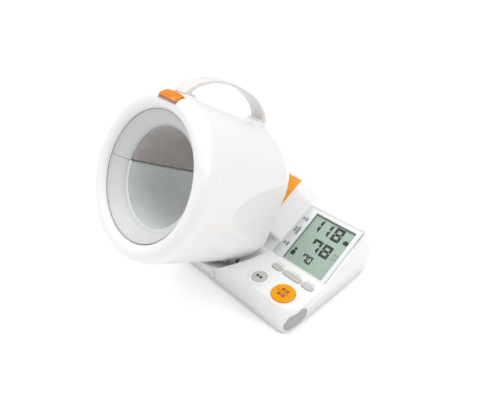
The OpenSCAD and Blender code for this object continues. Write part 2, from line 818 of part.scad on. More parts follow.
module round_button(r, rise) {
    translate([0, 0, cap_n]) cylinder(r = r, h = rise - cap_n - 0.8, $fn = 64);
    translate([0, 0, rise - 0.8 - EPS]) cylinder(r1 = r, r2 = r - 0.9, h = 0.8, $fn = 64);
}

module start_button() {
    color("orange") on_buttons() translate([start_x, button_v, 0]) round_button(start_r, 2.6);
}

module stop_button() {
    color("silver") on_buttons() translate([stop_x, button_v, 0]) round_button(stop_r, 1.8);
}

module key(i) {
    color("silver") on_buttons() translate([key_x[i], key_v, cap_n])
        pill(key_len[i], key_w, 1.4 - cap_n);
}

module key_left() {
    key(0);
}

module key_middle() {
    key(1);
}

module key_right() {
    key(2);
}

module key_board() {
    color("darkgreen") on_buttons() translate([key_board_x, button_v - 6, board_n])
        cube([key_board_size[0], key_board_size[1], board_t]);
}

module tact_switches() {
    color("dimgray") on_buttons() for (p = switch_spots) translate([p[0], p[1], board_n + board_t]) {
        translate([-switch_w / 2, -switch_w / 2, 0]) cube([switch_w, switch_w, 2]);
        cylinder(r = 1.7, h = cap_n - travel - 0.05 - board_n - board_t, $fn = 24);
    }
}

module main_board() {
    color("darkgreen") difference() {
        translate([board_at[0], board_at[1], board_z]) cube([board_size[0], board_size[1], board_t]);
        for (x = [4, board_size[0] - 4], y = [4, board_size[1] - 4])
            translate([board_at[0] + x, board_at[1] + y, 0]) cylinder(r = 1.6, h = 40, $fn = 24);
    }
}

module air_pump() {
    color("silver") translate(pump_c) rotate([-90, 0, 0]) {
        cylinder(r = pump_r, h = motor_len, $fn = 64);
        translate([0, 0, motor_len - EPS]) cylinder(r = pump_r - 2, h = pump_len - motor_len, $fn = 64);
        translate([0, 0, pump_len - EPS]) cylinder(r = 2, h = 6, $fn = 24);
    }
}

module exhaust_valve() {
    color("black") translate(valve_c) {
        translate([-valve_w / 2, -valve_w / 2, 0]) cube([valve_w, valve_w, valve_h]);
        translate([0, 0, valve_h - EPS]) cylinder(r = 2, h = 5, $fn = 24);
    }
}

module pressure_sensor() {
    color("black") translate([sensor_at[0], sensor_at[1], board_z + board_t]) {
        translate([-sensor_w / 2, -sensor_w / 2, 0]) cube([sensor_w, sensor_w, 5]);
        translate([0, 0, 5 - EPS]) cylinder(r = 1.6, h = 4, $fn = 24);
    }
}

// Smooth path through the guide's middle points, straight off at both ends
function path_point(g, t) = let (n = len(g) - 2, i = min(floor(t * n), n - 1), u = t * n - i,
    a = i == 0 ? g[0] : (g[i] + g[i + 1]) / 2, b = g[i + 1],
    c = i == n - 1 ? g[n + 1] : (g[i + 1] + g[i + 2]) / 2)
    a * (1 - u) * (1 - u) + b * 2 * u * (1 - u) + c * u * u;
function unit(v) = v / norm(v);
function ring_at(p, d, r, sides) = let (side = unit(cross(d, [0, 0, 1])), up = cross(side, d))
    [for (k = [0:sides - 1]) p + r * (side * cos(360 * k / sides) + up * sin(360 * k / sides))];

module swept_tube(guide, r, steps = 24, sides = 10) {
    path = [for (i = [0:steps]) path_point(guide, i / steps)];
    heading = [for (i = [0:steps]) unit(path[min(i + 1, steps)] - path[max(i - 1, 0)])];
    rings = [for (i = [0:steps]) each ring_at(path[i], heading[i], r, sides)];
    skin = [for (i = [0:steps - 1], k = [0:sides - 1]) let (a = i * sides + k, b = i * sides + (k + 1) % sides)
        each [[a, b, b + sides], [a, b + sides, a + sides]]];
    ends = concat([for (k = [1:sides - 2]) [0, k + 1, k]],
                  [for (k = [1:sides - 2]) let (e = steps * sides) [e, e + k, e + k + 1]]);
    polyhedron(rings, concat(skin, ends));
}

module air_hose() {
    color("dimgray") swept_tube(hose_guide, hose_r);
}

module speaker_cover() {
    color("darkgray") intersection() {
        oval(0, 5.6);
        console_block(0);
    }
}

module speaker() {
    color("black") at_oval() translate([0, 0, -12]) cylinder(r = 8, h = 5, $fn = 48);
}

module adapter_socket() {
    color("black") translate([jack_x, jack_y, jack_z]) rotate([90, 0, 0]) difference() {
        union() {
            cylinder(r = 5.2, h = 14, $fn = 48);
            translate([-6, -6, 7]) cube([12, 12, 7]);
        }
        translate([0, 0, -1]) cylinder(r = jack_r, h = jack_depth + 1, $fn = 48);
    }
}

centred() mouth_ring();
centred() barrel_shell();
centred() side_cover();
centred() rear_ring();
centred() inner_drum();
centred() entry_funnel();
centred() cuff_upper();
centred() cuff_lower();
centred() air_bladder();
centred() cuff_core();
centred() bladder_nipple();
centred() handle_strap();
centred() handle_front_seat();
centred() handle_rear_seat();
centred() handle_screws();
centred() release_button();
centred() release_spring();
centred() release_cable();
centred() lock_shoe();
centred() hinge_bushes();
centred() rear_ring_screws();
centred() base_tray();
centred() deck_cover();
centred() console_shell();
centred() shoulder_trim();
centred() elbow_pad();
centred() hinge_bracket();
centred() hinge_pin();
centred() lock_disc();
centred() display_frame();
centred() display_window();
centred() lcd_module();
centred() start_button();
centred() stop_button();
centred() key_left();
centred() key_middle();
centred() key_right();
centred() key_board();
centred() tact_switches();
centred() main_board();
centred() air_pump();
centred() exhaust_valve();
centred() pressure_sensor();
centred() air_hose();
centred() speaker_cover();
centred() speaker();
centred() adapter_socket();
centred() rubber_feet();
centred() case_screws();
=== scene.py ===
"""Looks of the arm-in blood pressure monitor.

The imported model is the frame: it fixes every size, place and joint. This script models the visible mouldings,
the fabric sleeve, the display and the keys over it, gives every piece its finish, and adds the studio.
"""

import json
import logging
import math
from dataclasses import dataclass, field, replace
from enum import Enum
from typing import Callable, Iterable, Optional, Sequence

import bmesh
import bpy
import numpy as np
from mathutils import Matrix


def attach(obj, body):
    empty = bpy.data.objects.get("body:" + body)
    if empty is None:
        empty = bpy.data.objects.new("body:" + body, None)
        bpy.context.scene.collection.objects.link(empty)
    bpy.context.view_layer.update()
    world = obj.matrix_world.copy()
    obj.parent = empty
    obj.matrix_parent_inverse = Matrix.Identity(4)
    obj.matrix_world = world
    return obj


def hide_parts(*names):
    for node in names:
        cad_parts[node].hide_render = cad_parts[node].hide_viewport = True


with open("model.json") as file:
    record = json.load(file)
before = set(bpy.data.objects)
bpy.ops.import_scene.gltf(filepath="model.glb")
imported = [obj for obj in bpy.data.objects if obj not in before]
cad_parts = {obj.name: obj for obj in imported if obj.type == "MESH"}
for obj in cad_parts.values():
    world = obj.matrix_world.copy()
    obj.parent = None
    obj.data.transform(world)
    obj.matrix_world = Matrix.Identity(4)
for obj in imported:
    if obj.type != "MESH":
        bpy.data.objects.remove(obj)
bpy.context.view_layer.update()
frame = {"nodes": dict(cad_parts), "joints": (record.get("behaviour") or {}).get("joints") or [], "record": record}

LOG = logging.getLogger("monitor")
MM = 0.001
Field = Callable[[np.ndarray], np.ndarray]


# ---------------------------------------------------------------- geometry


@dataclass(frozen=True)
class Pose:
    """A right-handed frame in millimetres: an origin and three unit axes in the part's frame."""

    origin: tuple[float, float, float]
    x: tuple[float, float, float]
    y: tuple[float, float, float]
    z: tuple[float, float, float]

    @property
    def turn(self) -> np.ndarray:
        """The three axes as the rows of a matrix."""
        return np.array([self.x, self.y, self.z])

    def out(self, points: np.ndarray) -> np.ndarray:
        """Carries points from this frame to the part's frame: origin plus the coordinates along the axes."""
        return np.asarray(points) @ self.turn + np.array(self.origin)

    def back(self, points: np.ndarray) -> np.ndarray:
        """Carries points of the part's frame into this frame."""
        return (np.asarray(points) - np.array(self.origin)) @ self.turn.T


@dataclass
class Patch:
    """Vertices in millimetres, quads or triangles on them, and the index of their material."""

    verts: np.ndarray
    faces: np.ndarray
    material: int = 0
    uv: Optional[np.ndarray] = None


def full_turn(count: int) -> np.ndarray:
    """Evenly spaced angles round a circle, in radians."""
    return np.linspace(0, 2 * np.pi, count, endpoint=False)


def lattice(rows: int, columns: int, wrap_rows: bool, wrap_columns: bool) -> np.ndarray:
    """Quads on a grid of rows by columns.

    Args:
        rows: Number of grid rows.
        columns: Number of points in a row.
        wrap_rows: Whether the last row joins the first.
        wrap_columns: Whether a row's last point joins its first.

    Returns:
        An array of quads, each the four point numbers round a cell.
    """
    i = np.arange(rows if wrap_rows else rows - 1)
    j = np.arange(columns if wrap_columns else columns - 1)
    ii, jj = np.meshgrid(i, j, indexing="ij")
    right, up = (jj + 1) % columns, (ii + 1) % rows
    here, above = ii * columns, up * columns
    return np.stack([here + jj, above + jj, above + right, here + right], -1).reshape(-1, 4)


def surface(points: np.ndarray, wrap_rows: bool = False, wrap_columns: bool = False, material: int = 0,
            uv: Optional[np.ndarray] = None) -> Patch:
    """A patch from a grid of points.

    Args:
        points: Array of rows, columns and coordinates, in millimetres in the part's frame.
        wrap_rows: Whether the last row joins the first.
        wrap_columns: Whether a row's last point joins its first.
        material: Index of the patch's material.
        uv: Pattern coordinates of the points in millimetres, on the same grid.

    Returns:
        The patch.
    """
    rows, columns = points.shape[:2]
    flat_uv = None if uv is None else uv.reshape(-1, 2)
    return Patch(points.reshape(-1, 3), lattice(rows, columns, wrap_rows, wrap_columns), material, flat_uv)


def fan(ring: np.ndarray, material: int = 0) -> Patch:
    """Closes a ring of points with triangles to its middle."""
    count = len(ring)
    k = np.arange(count)
    faces = np.stack([k, (k + 1) % count, np.full(count, count)], -1)
    return Patch(np.vstack([ring, ring.mean(0)]), faces, material)


def tube(rings: np.ndarray) -> list[Patch]:
    """The skin over closed rings along a path, and its two ends."""
    return [surface(rings, wrap_columns=True), fan(rings[0]), fan(rings[-1])]


def rims(top: np.ndarray, low: np.ndarray) -> list[Patch]:
    """The four strips that join the borders of two grids of the same size."""
    pairs = [(top[0], low[0]), (top[-1], low[-1]), (top[:, 0], low[:, 0]), (top[:, -1], low[:, -1])]
    return [surface(np.stack(pair)) for pair in pairs]


def revolved(profile: np.ndarray, pose: Pose, sides: int = 160, limit: Optional[Field] = None,
             material: int = 0) -> Patch:
    """A closed profile of (radius, height) points turned about a pose's z axis: (r cos t, r sin t, z).

    Args:
        profile: Points of the profile.
        pose: The frame whose z axis is turned about.
        sides: Number of steps round.
        limit: Gives the largest x at a height, for a body with a flat side.
        material: Index of the patch's material.

    Returns:
        The turned surface.
    """
    facing_least, crease_r = 0.2, 1.2
    t = full_turn(sides)[:, None]
    r = np.broadcast_to(profile[:, 0], (sides, len(profile)))
    z = np.broadcast_to(profile[:, 1], (sides, len(profile)))
    if limit is not None:
        facing = np.cos(t)
        flat = limit(z) / np.maximum(facing, facing_least)
        r = np.where(facing > facing_least, soft_min(r, flat, crease_r), r)
    points = np.stack([r * np.cos(t), r * np.sin(t), z], -1)
    return surface(pose.out(points), wrap_rows=True, wrap_columns=True, material=material)


def soft_min(a: np.ndarray, b: np.ndarray, radius: float) -> np.ndarray:
    """The smaller of two values, blended over a radius so that the crease between them is round."""
    h = np.clip(radius - np.abs(a - b), 0, None) / radius
    return np.minimum(a, b) - h * h * radius / 4


def round_max(a: np.ndarray, b: np.ndarray, radius: float) -> np.ndarray:
    """Intersection of two distance fields whose shared edge is rounded to a radius."""
    reach = np.hypot(np.maximum(a + radius, 0), np.maximum(b + radius, 0))
    return np.minimum(-radius, np.maximum(a, b)) + reach


def round_min(a: np.ndarray, b: np.ndarray, radius: float) -> np.ndarray:
    """Union of two distance fields whose inner corner is filled to a radius."""
    return -round_max(-a, -b, radius)


def arc(middle: Sequence[float], a: float, b: float, start: float, end: float, count: int) -> np.ndarray:
    """Points of an ellipse's arc: middle + (a cos t, b sin t), with t from start to end in degrees."""
    t = np.radians(np.linspace(start, end, count))
    return np.stack([middle[0] + a * np.cos(t), middle[1] + b * np.sin(t)], -1)


def rounded_loop(half_x: float, half_y: float, power: float, count: int) -> np.ndarray:
    """A closed superellipse, |x/a|^p + |y/b|^p = 1.

    Args:
        half_x: Half its width.
        half_y: Half its height.
        power: 2 for an ellipse, more for squarer corners.
        count: Number of points.

    Returns:
        The points in order.
    """
    t = full_turn(count)
    c, s = np.cos(t), np.sin(t)
    x, y = (half * np.sign(v) * np.abs(v) ** (2 / power) for half, v in ((half_x, c), (half_y, s)))
    return np.stack([x, y], -1)


def pill_loop(length: float, width: float, grow: float, count: int = 96) -> np.ndarray:
    """A closed slot outline: a circle whose centre slides by half the straight length towards each end.

    Args:
        length: Length of the slot.
        width: Width of the slot.
        grow: How far the outline stands outside the slot.
        count: Number of points.

    Returns:
        The outline round the slot's centre.
    """
    t = full_turn(count)
    r = width / 2 + grow
    slide = (length - width) / 2
    return np.stack([r * np.cos(t) + slide * np.tanh(8 * np.cos(t)), r * np.sin(t)], -1)


def stacked(loops: Sequence[np.ndarray], heights: Sequence[float]) -> np.ndarray:
    """Puts flat outlines at their heights, as rings for a tube."""
    return np.stack([np.column_stack([loop, np.full(len(loop), h)]) for loop, h in zip(loops, heights)])


def outline_reach(circles: Sequence[Sequence[float]], direction: np.ndarray) -> np.ndarray:
    """Support of the band stretched round circles: the farthest reach of any circle along each direction.

    Args:
        circles: Centre x, centre y and radius of each circle.
        direction: Unit vectors, one to a row.

    Returns:
        The reach along each direction.
    """
    c = np.asarray(circles, float)
    return (direction @ c[:, :2].T + c[:, 2]).max(1)


def banded(circles: Sequence[Sequence[float]], grow: float, count: int = 240) -> np.ndarray:
    """Outline of the band stretched round circles: each direction's farthest circle gives centre + r n."""
    t = full_turn(count)
    n = np.stack([np.cos(t), np.sin(t)], -1)
    c = np.asarray(circles, float)
    best = (n @ c[:, :2].T + c[:, 2]).argmax(1)
    return c[best, :2] + (c[best, 2] + grow)[:, None] * n


CORNERS = np.array([(i, j, k) for i in (0, 1) for j in (0, 1) for k in (0, 1)])
EDGES = [(a, b) for a in range(8) for b in range(a + 1, 8) if np.abs(CORNERS[a] - CORNERS[b]).sum() == 1]


def slope(solid: Field, points: np.ndarray, reach: float) -> np.ndarray:
    """Gradient of a field by central differences over a reach."""
    steps = np.eye(3) * reach
    return np.stack([(solid(points + s) - solid(points - s)) / (2 * reach) for s in steps], -1)


def moulded(solid: Field, low: Sequence[float], high: Sequence[float], step: float) -> Patch:
    """The skin where a distance field is zero, for housings whose faces blend into each other.

    One point stands in every grid cell that the skin passes, at the mean of its edge crossings, and is then slid
    down the field's slope onto the skin. The four cells round each crossed grid edge share a quad.

    Args:
        solid: The field, negative inside.
        low: Lowest corner of the grid.
        high: Highest corner of the grid.
        step: Grid spacing in millimetres.

    Returns:
        The closed skin in the part's frame.
    """
    low = np.asarray(low, float)
    axes = [np.arange(a, b + step, step) for a, b in zip(low, high)]
    shape = tuple(len(a) for a in axes)
    value = np.concatenate([
        solid(np.stack(np.meshgrid(axes[0][i:i + 8], axes[1], axes[2], indexing="ij"), -1).reshape(-1, 3))
        for i in range(0, shape[0], 8)]).reshape(shape)
    inside = value < 0
    cells = tuple(n - 1 for n in shape)
    held = sum(inside[i:i + cells[0], j:j + cells[1], k:k + cells[2]].astype(np.int8) for i, j, k in CORNERS)
    active = np.argwhere((held > 0) & (held < 8))
    number = np.full(cells, -1)
    number[tuple(active.T)] = np.arange(len(active))
    at = np.stack([value[tuple((active + c).T)] for c in CORNERS], -1)
    total, count = np.zeros((len(active), 3)), np.zeros(len(active))
    for a, b in EDGES:
        crossed = (at[:, a] < 0) != (at[:, b] < 0)
        share = np.where(crossed, at[:, a] / np.where(crossed, at[:, a] - at[:, b], 1), 0)[:, None]
        total += crossed[:, None] * (CORNERS[a] + share * (CORNERS[b] - CORNERS[a]))
        count += crossed
    points = low + step * (active + total / count[:, None])
    for _ in range(4):
        g = slope(solid, points, 0.05 * step)
        move = -solid(points)[:, None] * g / np.maximum((g * g).sum(1), 0.05)[:, None]
        length = np.linalg.norm(move, axis=1, keepdims=True)
        points = points + move * np.minimum(1, 0.3 * step / np.maximum(length, 1e-9))
    quads = []
    for axis in range(3):
        side = np.moveaxis(inside, axis, 0)
        ids = np.moveaxis(number, axis, 0)
        i, j, k = np.argwhere(side[:-1, 1:-1, 1:-1] != side[1:, 1:-1, 1:-1]).T
        quad = np.stack([ids[i, j, k], ids[i, j + 1, k], ids[i, j + 1, k + 1], ids[i, j, k + 1]], -1)
        quads.append(quad)
    return Patch(points, np.vstack(quads))


# ---------------------------------------------------------------- finishes


def linear(code: str) -> tuple[float, float, float, float]:
    """Turns an sRGB hex code into linear colour."""
    srgb = [int(code[i:i + 2], 16) / 255 for i in (0, 2, 4)]
    return tuple(c / 12.92 if c <= 0.04045 else ((c + 0.055) / 1.055) ** 2.4 for c in srgb) + (1.0,)


def node(tree: bpy.types.NodeTree, kind: str, values: Optional[dict] = None, links: Optional[dict] = None,
         **settings: object) -> bpy.types.Node:
    """Adds a shader node.

    Args:
        tree: The material's node tree.
        kind: The node's type name.
        values: Socket name or number to a constant.
        links: Socket name or number to an output socket.
        settings: Properties of the node itself.

    Returns:
        The new node.
    """
    made = tree.nodes.new(kind)
    for key, value in settings.items():
        setattr(made, key, value)
    for key, value in (values or {}).items():
        made.inputs[key].default_value = value
    for key, value in (links or {}).items():
        tree.links.new(value, made.inputs[key])
    return made


class Grain(Enum):
    """How a moulded surface was finished in its tool."""

    POLISHED = "polished"
    SATIN = "satin"
    SPARK = "spark eroded"


@dataclass(frozen=True)
class Panel:
    """A part of a moulding in another colour: everything beyond all of its planes."""

    colour: str
    planes: tuple[tuple[tuple[float, float, float], float], ...]

    def mask(self, tree: bpy.types.NodeTree, spot: bpy.types.NodeSocket) -> bpy.types.NodeSocket:
        """Product over the planes of a step that is 1 where normal.p is over the plane's distance in metres."""
        whole = None
        for normal, distance in self.planes:
            along = node(tree, "ShaderNodeVectorMath", {1: normal}, {0: spot}, operation="DOT_PRODUCT")
            beyond = node(tree, "ShaderNodeMath", {1: distance}, {0: along.outputs["Value"]}, operation="GREATER_THAN")
            if whole is not None:
                beyond = node(tree, "ShaderNodeMath", links={0: whole, 1: beyond.outputs[0]}, operation="MULTIPLY")
            whole = beyond.outputs[0]
        return whole


@dataclass(frozen=True)
class Moulding:
    """An injection-moulded plastic, rubber or painted part.

    A broad unevenness of gloss and a fine grain in the tool give the eye a real moulding: the polished tool leaves
    a slight orange peel about 3 mm across, and the spark-eroded one a pebble of about 0.4 mm, drawn at 0.8 mm
    because the real one is too fine for the render.
    """

    name: str
    colour: str
    shade: str
    roughness: float
    grain: Grain
    metallic: float = 0.0
    coat: float = 0.0
    translucence: float = 0.0
    see_through: float = 1.0
    specular: float = 0.5
    panel: Optional[Panel] = None

    def make(self) -> bpy.types.Material:
        """Builds the material: two close tones by a broad noise, gloss by another, and the grain as bump."""
        mat = bpy.data.materials.new(self.name)
        mat.use_nodes = True
        tree = mat.node_tree
        tree.nodes.clear()
        spot = node(tree, "ShaderNodeTexCoord").outputs["Object"]
        tone = node(tree, "ShaderNodeTexNoise", {"Scale": 28.0, "Detail": 3.0}, {"Vector": spot})
        mixed = node(tree, "ShaderNodeMix", {6: linear(self.colour), 7: linear(self.shade)},
                     {0: tone.outputs["Fac"]}, data_type="RGBA")
        if self.panel is not None:
            mixed = node(tree, "ShaderNodeMix", {7: linear(self.panel.colour)},
                         {0: self.panel.mask(tree, spot), 6: mixed.outputs[2]}, data_type="RGBA")
        sheen = node(tree, "ShaderNodeTexNoise", {"Scale": 60.0, "Detail": 4.0}, {"Vector": spot})
        rough = node(tree, "ShaderNodeMapRange", {"To Min": self.roughness * 0.85, "To Max": self.roughness * 1.15},
                     {"Value": sheen.outputs["Fac"]})
        size_mm, depth = {Grain.POLISHED: (3.0, 0.012), Grain.SATIN: (1.2, 0.05), Grain.SPARK: (0.8, 0.16)}[self.grain]
        pebble = node(tree, "ShaderNodeTexNoise", {"Scale": 1 / (size_mm * MM), "Detail": 2.0}, {"Vector": spot})
        bump = node(tree, "ShaderNodeBump", {"Strength": 0.5, "Distance": depth * MM},
                    {"Height": pebble.outputs["Fac"]})
        body = node(tree, "ShaderNodeBsdfPrincipled",
                    {"Metallic": self.metallic, "IOR": 1.5 if self.metallic else 1.53, "Coat Weight": self.coat,
                     "Coat Roughness": 0.08, "Subsurface Weight": self.translucence, "Subsurface Scale": 0.004,
                     "Alpha": self.see_through, "Specular IOR Level": self.specular},
                    {"Base Color": mixed.outputs[2], "Roughness": rough.outputs[0], "Normal": bump.outputs[0]})
        node(tree, "ShaderNodeOutputMaterial", links={"Surface": body.outputs[0]})
        return mat


@dataclass(frozen=True)
class KnitFabric:
    """The sleeve's knitted lining: rows of small loops with a soft sheen, on a padding that takes slight waves.

    The real loops are about 0.5 mm apart, drawn at 1.6 mm so that they show in the render.
    """

    name: str
    colour: str
    shade: str
    loop_mm: float = 1.6

    def make(self) -> bpy.types.Material:
        """Builds the material: crossed waves on the sleeve's own UV map give the loops their tone and relief."""
        mat = bpy.data.materials.new(self.name)
        mat.use_nodes = True
        tree = mat.node_tree
        tree.nodes.clear()
        laid = node(tree, "ShaderNodeUVMap", uv_map="weave").outputs[0]
        spot = node(tree, "ShaderNodeTexCoord").outputs["Object"]
        scaled = node(tree, "ShaderNodeMapping", {"Scale": (1 / self.loop_mm, 1 / self.loop_mm, 1)}, {"Vector": laid})
        wales = node(tree, "ShaderNodeTexWave", {"Scale": 0.314, "Distortion": 0.6, "Detail Scale": 1.5},
                     {"Vector": scaled.outputs[0]}, bands_direction="X")
        courses = node(tree, "ShaderNodeTexWave", {"Scale": 0.314, "Distortion": 0.6, "Detail Scale": 1.5},
                       {"Vector": scaled.outputs[0]}, bands_direction="Y")
        loops = node(tree, "ShaderNodeMath", links={0: wales.outputs["Fac"], 1: courses.outputs["Fac"]},
                     operation="MULTIPLY")
        blotch = node(tree, "ShaderNodeTexNoise", {"Scale": 90.0, "Detail": 5.0}, {"Vector": spot})
        both = node(tree, "ShaderNodeMath", {1: 0.55}, {0: loops.outputs[0]}, operation="MULTIPLY")
        tone = node(tree, "ShaderNodeMath", links={0: both.outputs[0], 1: blotch.outputs["Fac"]}, operation="ADD")
        even = node(tree, "ShaderNodeMapRange", {"From Min": 0.25, "From Max": 1.1}, {"Value": tone.outputs[0]})
        mixed = node(tree, "ShaderNodeMix", {6: linear(self.shade), 7: linear(self.colour)},
                     {0: even.outputs[0]}, data_type="RGBA")
        bump = node(tree, "ShaderNodeBump", {"Strength": 0.6, "Distance": 0.25 * MM}, {"Height": loops.outputs[0]})
        body = node(tree, "ShaderNodeBsdfPrincipled",
                    {"Roughness": 0.92, "IOR": 1.4, "Sheen Weight": 0.25, "Sheen Roughness": 0.5},
                    {"Base Color": mixed.outputs[2], "Normal": bump.outputs[0]})
        node(tree, "ShaderNodeOutputMaterial", links={"Surface": body.outputs[0]})
        return mat


GLOSS_WHITE = Moulding("gloss white ABS", "F6F6F5", "F2F2F1", 0.24, Grain.POLISHED, coat=0.15)
STRAP = Moulding("satin warm grey ABS", "E9E6E4", "E3E0DE", 0.4, Grain.SATIN)
FUNNEL = Moulding("satin light grey ABS", "D9DADC", "D3D4D6", 0.45, Grain.SATIN)
SILVER = Moulding("satin silver paint on ABS", "DEE2E2", "D8DCDC", 0.36, Grain.SATIN, metallic=0.12)
ORANGE = Moulding("orange gloss paint on ABS", "FFAC34", "FAA42A", 0.3, Grain.POLISHED, coat=0.1, specular=0.25)
START_ORANGE = Moulding("orange keycap resin", "F4A408", "EC9A00", 0.38, Grain.SATIN, specular=0.15)
AMBER = Moulding("translucent amber resin", "EA8C00", "DC7A00", 0.2, Grain.POLISHED, coat=0.2, translucence=0.1,
                 specular=0.3)
KEY_GREY = Moulding("grey keycap resin", "C6C7C4", "C0C1BE", 0.42, Grain.SATIN)
OVAL_GREY = Moulding("grey speaker grille resin", "B5B6B6", "AEAFAF", 0.5, Grain.SPARK)
PAD_GREY = Moulding("grey elbow pad elastomer", "B9BABA", "B1B2B2", 0.6, Grain.SPARK)
DARK = Moulding("black engineering plastic", "232426", "1D1E20", 0.5, Grain.SPARK)
# Painted shade in narrow gaps: the ring under the mouth lip and the groove round the display frame. Also the funnel's
# dark split line.
JOINT_AND_GAP_SHADE = Moulding("dark joint and painted gap shade", "7B807F", "757A79", 0.7, Grain.SATIN)
MARK = Moulding("grey pad print", "8C8F92", "85888B", 0.5, Grain.SATIN)
CAP_MARK = Moulding("brown pad print", "9A5A1C", "925418", 0.5, Grain.SATIN)
DARK_MARK = Moulding("dark pad print", "4C4E50", "46484A", 0.5, Grain.SATIN)
RUBBER = Moulding("grey foot rubber", "5E5F61", "56575A", 0.75, Grain.SPARK)
BLACK_RUBBER = Moulding("black tube rubber", "1C1C1D", "161617", 0.6, Grain.SATIN)
STEEL = Moulding("zinc plated steel", "B9BBBE", "ABADB0", 0.34, Grain.SATIN, metallic=1.0)
BOARD = Moulding("green solder resist", "1F5B36", "194D2D", 0.35, Grain.SATIN)
GLASS_GREEN = Moulding("display glass over its reflector", "A0B7A7", "9CB3A2", 0.32, Grain.POLISHED, specular=0.2)
GLASS_SHADE = Moulding("display glass in its bezel's shadow", "5C6C60", "566659", 0.4, Grain.POLISHED, specular=0.2)
SEGMENT = Moulding("dark display segment", "0C100E", "090C0B", 0.5, Grain.POLISHED, specular=0.1)
FAINT = Moulding("faint display segment", "83998A", "7E9485", 0.5, Grain.POLISHED)
WINDOW = Moulding("clear acrylic window", "EEF4F0", "EAF0EC", 0.06, Grain.POLISHED, see_through=0.03, specular=0.2)
# Painted light and shade on one knit: the upper copy is darkened for the shade at the top of the bore, and the lower
# copy is lightened to make up for the dim light in it.
PAINTED_SHADE_KNIT = KnitFabric("brown-grey knit darkened with painted shade", "C6C0BE", "ABA5A3")
PAINTED_LIGHT_KNIT = KnitFabric("pale grey knit lightened with painted light", "E6EBE9", "D4DAD7")
PIPING = Moulding("pale moulded sleeve rim", "E4E6E6", "DCDEDE", 0.5, Grain.SATIN)


class Wardrobe:
    """Makes each finish once and hands it out."""

    def __init__(self) -> None:
        """Starts with no material made."""
        self.made: dict[str, bpy.types.Material] = {}

    def get(self, finish: "Moulding | KnitFabric") -> bpy.types.Material:
        """Gives a finish's material, building it at its first use."""
        if finish.name not in self.made:
            self.made[finish.name] = finish.make()
        return self.made[finish.name]


WARDROBE = Wardrobe()


def piece(name: str, patches: Iterable[Patch], finishes: "Sequence[Moulding | KnitFabric]", body: str,
          replaces: Sequence[str] = (), crease: float = 38.0) -> bpy.types.Object:
    """Turns patches into one object that rides on a body.

    Args:
        name: The piece's name.
        patches: Its surfaces, in millimetres in the part's frame.
        finishes: Its finishes, in the order of the patches' material numbers.
        body: The body it rides on.
        replaces: The nodes that it stands for.
        crease: Angle above which an edge shades as a crease, in degrees.

    Returns:
        The object.
    """
    parts = list(patches)
    mesh = bpy.data.meshes.new(name)
    offset = np.cumsum([0] + [len(p.verts) for p in parts])
    polygons = [face for p, start in zip(parts, offset) for face in (p.faces + start).tolist()]
    mesh.from_pydata((np.vstack([p.verts for p in parts]) * MM).tolist(), [], polygons)
    mesh.polygons.foreach_set("material_index", np.concatenate([np.full(len(p.faces), p.material) for p in parts]))
    if any(p.uv is not None for p in parts):
        laid = np.vstack([np.zeros((len(p.verts), 2)) if p.uv is None else p.uv for p in parts])
        corner = np.empty(len(mesh.loops), dtype=np.int32)
        mesh.loops.foreach_get("vertex_index", corner)
        mesh.uv_layers.new(name="weave").data.foreach_set("uv", laid[corner].ravel())
    edit = bmesh.new()
    edit.from_mesh(mesh)
    bmesh.ops.remove_doubles(edit, verts=edit.verts, dist=0.002 * MM)
    bmesh.ops.recalc_face_normals(edit, faces=edit.faces)
    edit.to_mesh(mesh)
    edit.free()
    mesh.shade_smooth()
    mesh.set_sharp_from_angle(angle=math.radians(crease))
    for finish in finishes:
        mesh.materials.append(WARDROBE.get(finish))
    made = bpy.data.objects.new(name, mesh)
    bpy.context.scene.collection.objects.link(made)
    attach(made, body)
    if replaces:
        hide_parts(*replaces)
    LOG.info("%s: %d faces on %s", name, len(mesh.polygons), body)
    return made


# ---------------------------------------------------------------- places


@dataclass(frozen=True)
class Layout:
    """Where the sub-assemblies stand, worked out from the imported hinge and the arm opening's axis."""

    hinge_drop: float = 70.0
    hinge_back: float = 8.0
    fold_right: float = 78.1
    fold_behind: float = 16.1
    fold_above: float = 25.3
    display_tilt: float = 28.0
    button_tilt: float = 2.3
    case_left: float = 78.1
    case_front: float = -2.8

    @property
    def tilt(self) -> dict:
        """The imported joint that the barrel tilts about."""
        return next(j for j in frame["joints"] if j["name"] == "barrel_tilt")

    @property
    def hinge(self) -> np.ndarray:
        """The tilt hinge's middle."""
        return np.array(self.tilt["pos_m"]) / MM

    @property
    def tilt_range(self) -> tuple[float, float]:
        """The barrel's travel in radians."""
        return tuple(math.radians(a) for a in self.tilt["range_deg"])

    @property
    def barrel(self) -> Pose:
        """The barrel's frame: z out of the mouth from the rear end, y up, x to the console."""
        mount = next(m for m in frame["record"]["mounts"] if m["name"] == "arm_bore")
        forward = np.array(mount["axis"])
        upward = np.cross(forward, (1.0, 0.0, 0.0))
        start = self.hinge + self.hinge_drop * upward + self.hinge_back * forward
        return Pose(tuple(start), (1, 0, 0), tuple(upward), tuple(forward))

    @property
    def case(self) -> Pose:
        """The housing's level frame: x from the display frame's left edge, y to the rear, z up from the table."""
        start = self.hinge + np.array([self.case_left, -self.case_front, -self.hinge[2]])
        return Pose(tuple(start), (1, 0, 0), (0, 1, 0), (0, 0, 1))

    def sloped(self, tilt: float) -> Pose:
        """A face that starts at the fold: y up its slope, z out of it."""
        start = self.hinge + np.array([self.fold_right, self.fold_behind, self.fold_above])
        c, s = math.cos(math.radians(tilt)), math.sin(math.radians(tilt))
        return Pose(tuple(start), (1, 0, 0), (0, c, s), (0, -s, c))

    @property
    def display(self) -> Pose:
        """The display face's frame."""
        return self.sloped(self.display_tilt)

    @property
    def buttons(self) -> Pose:
        """The button face's frame."""
        return self.sloped(self.button_tilt)


LAYOUT = Layout()


# ---------------------------------------------------------------- arm barrel


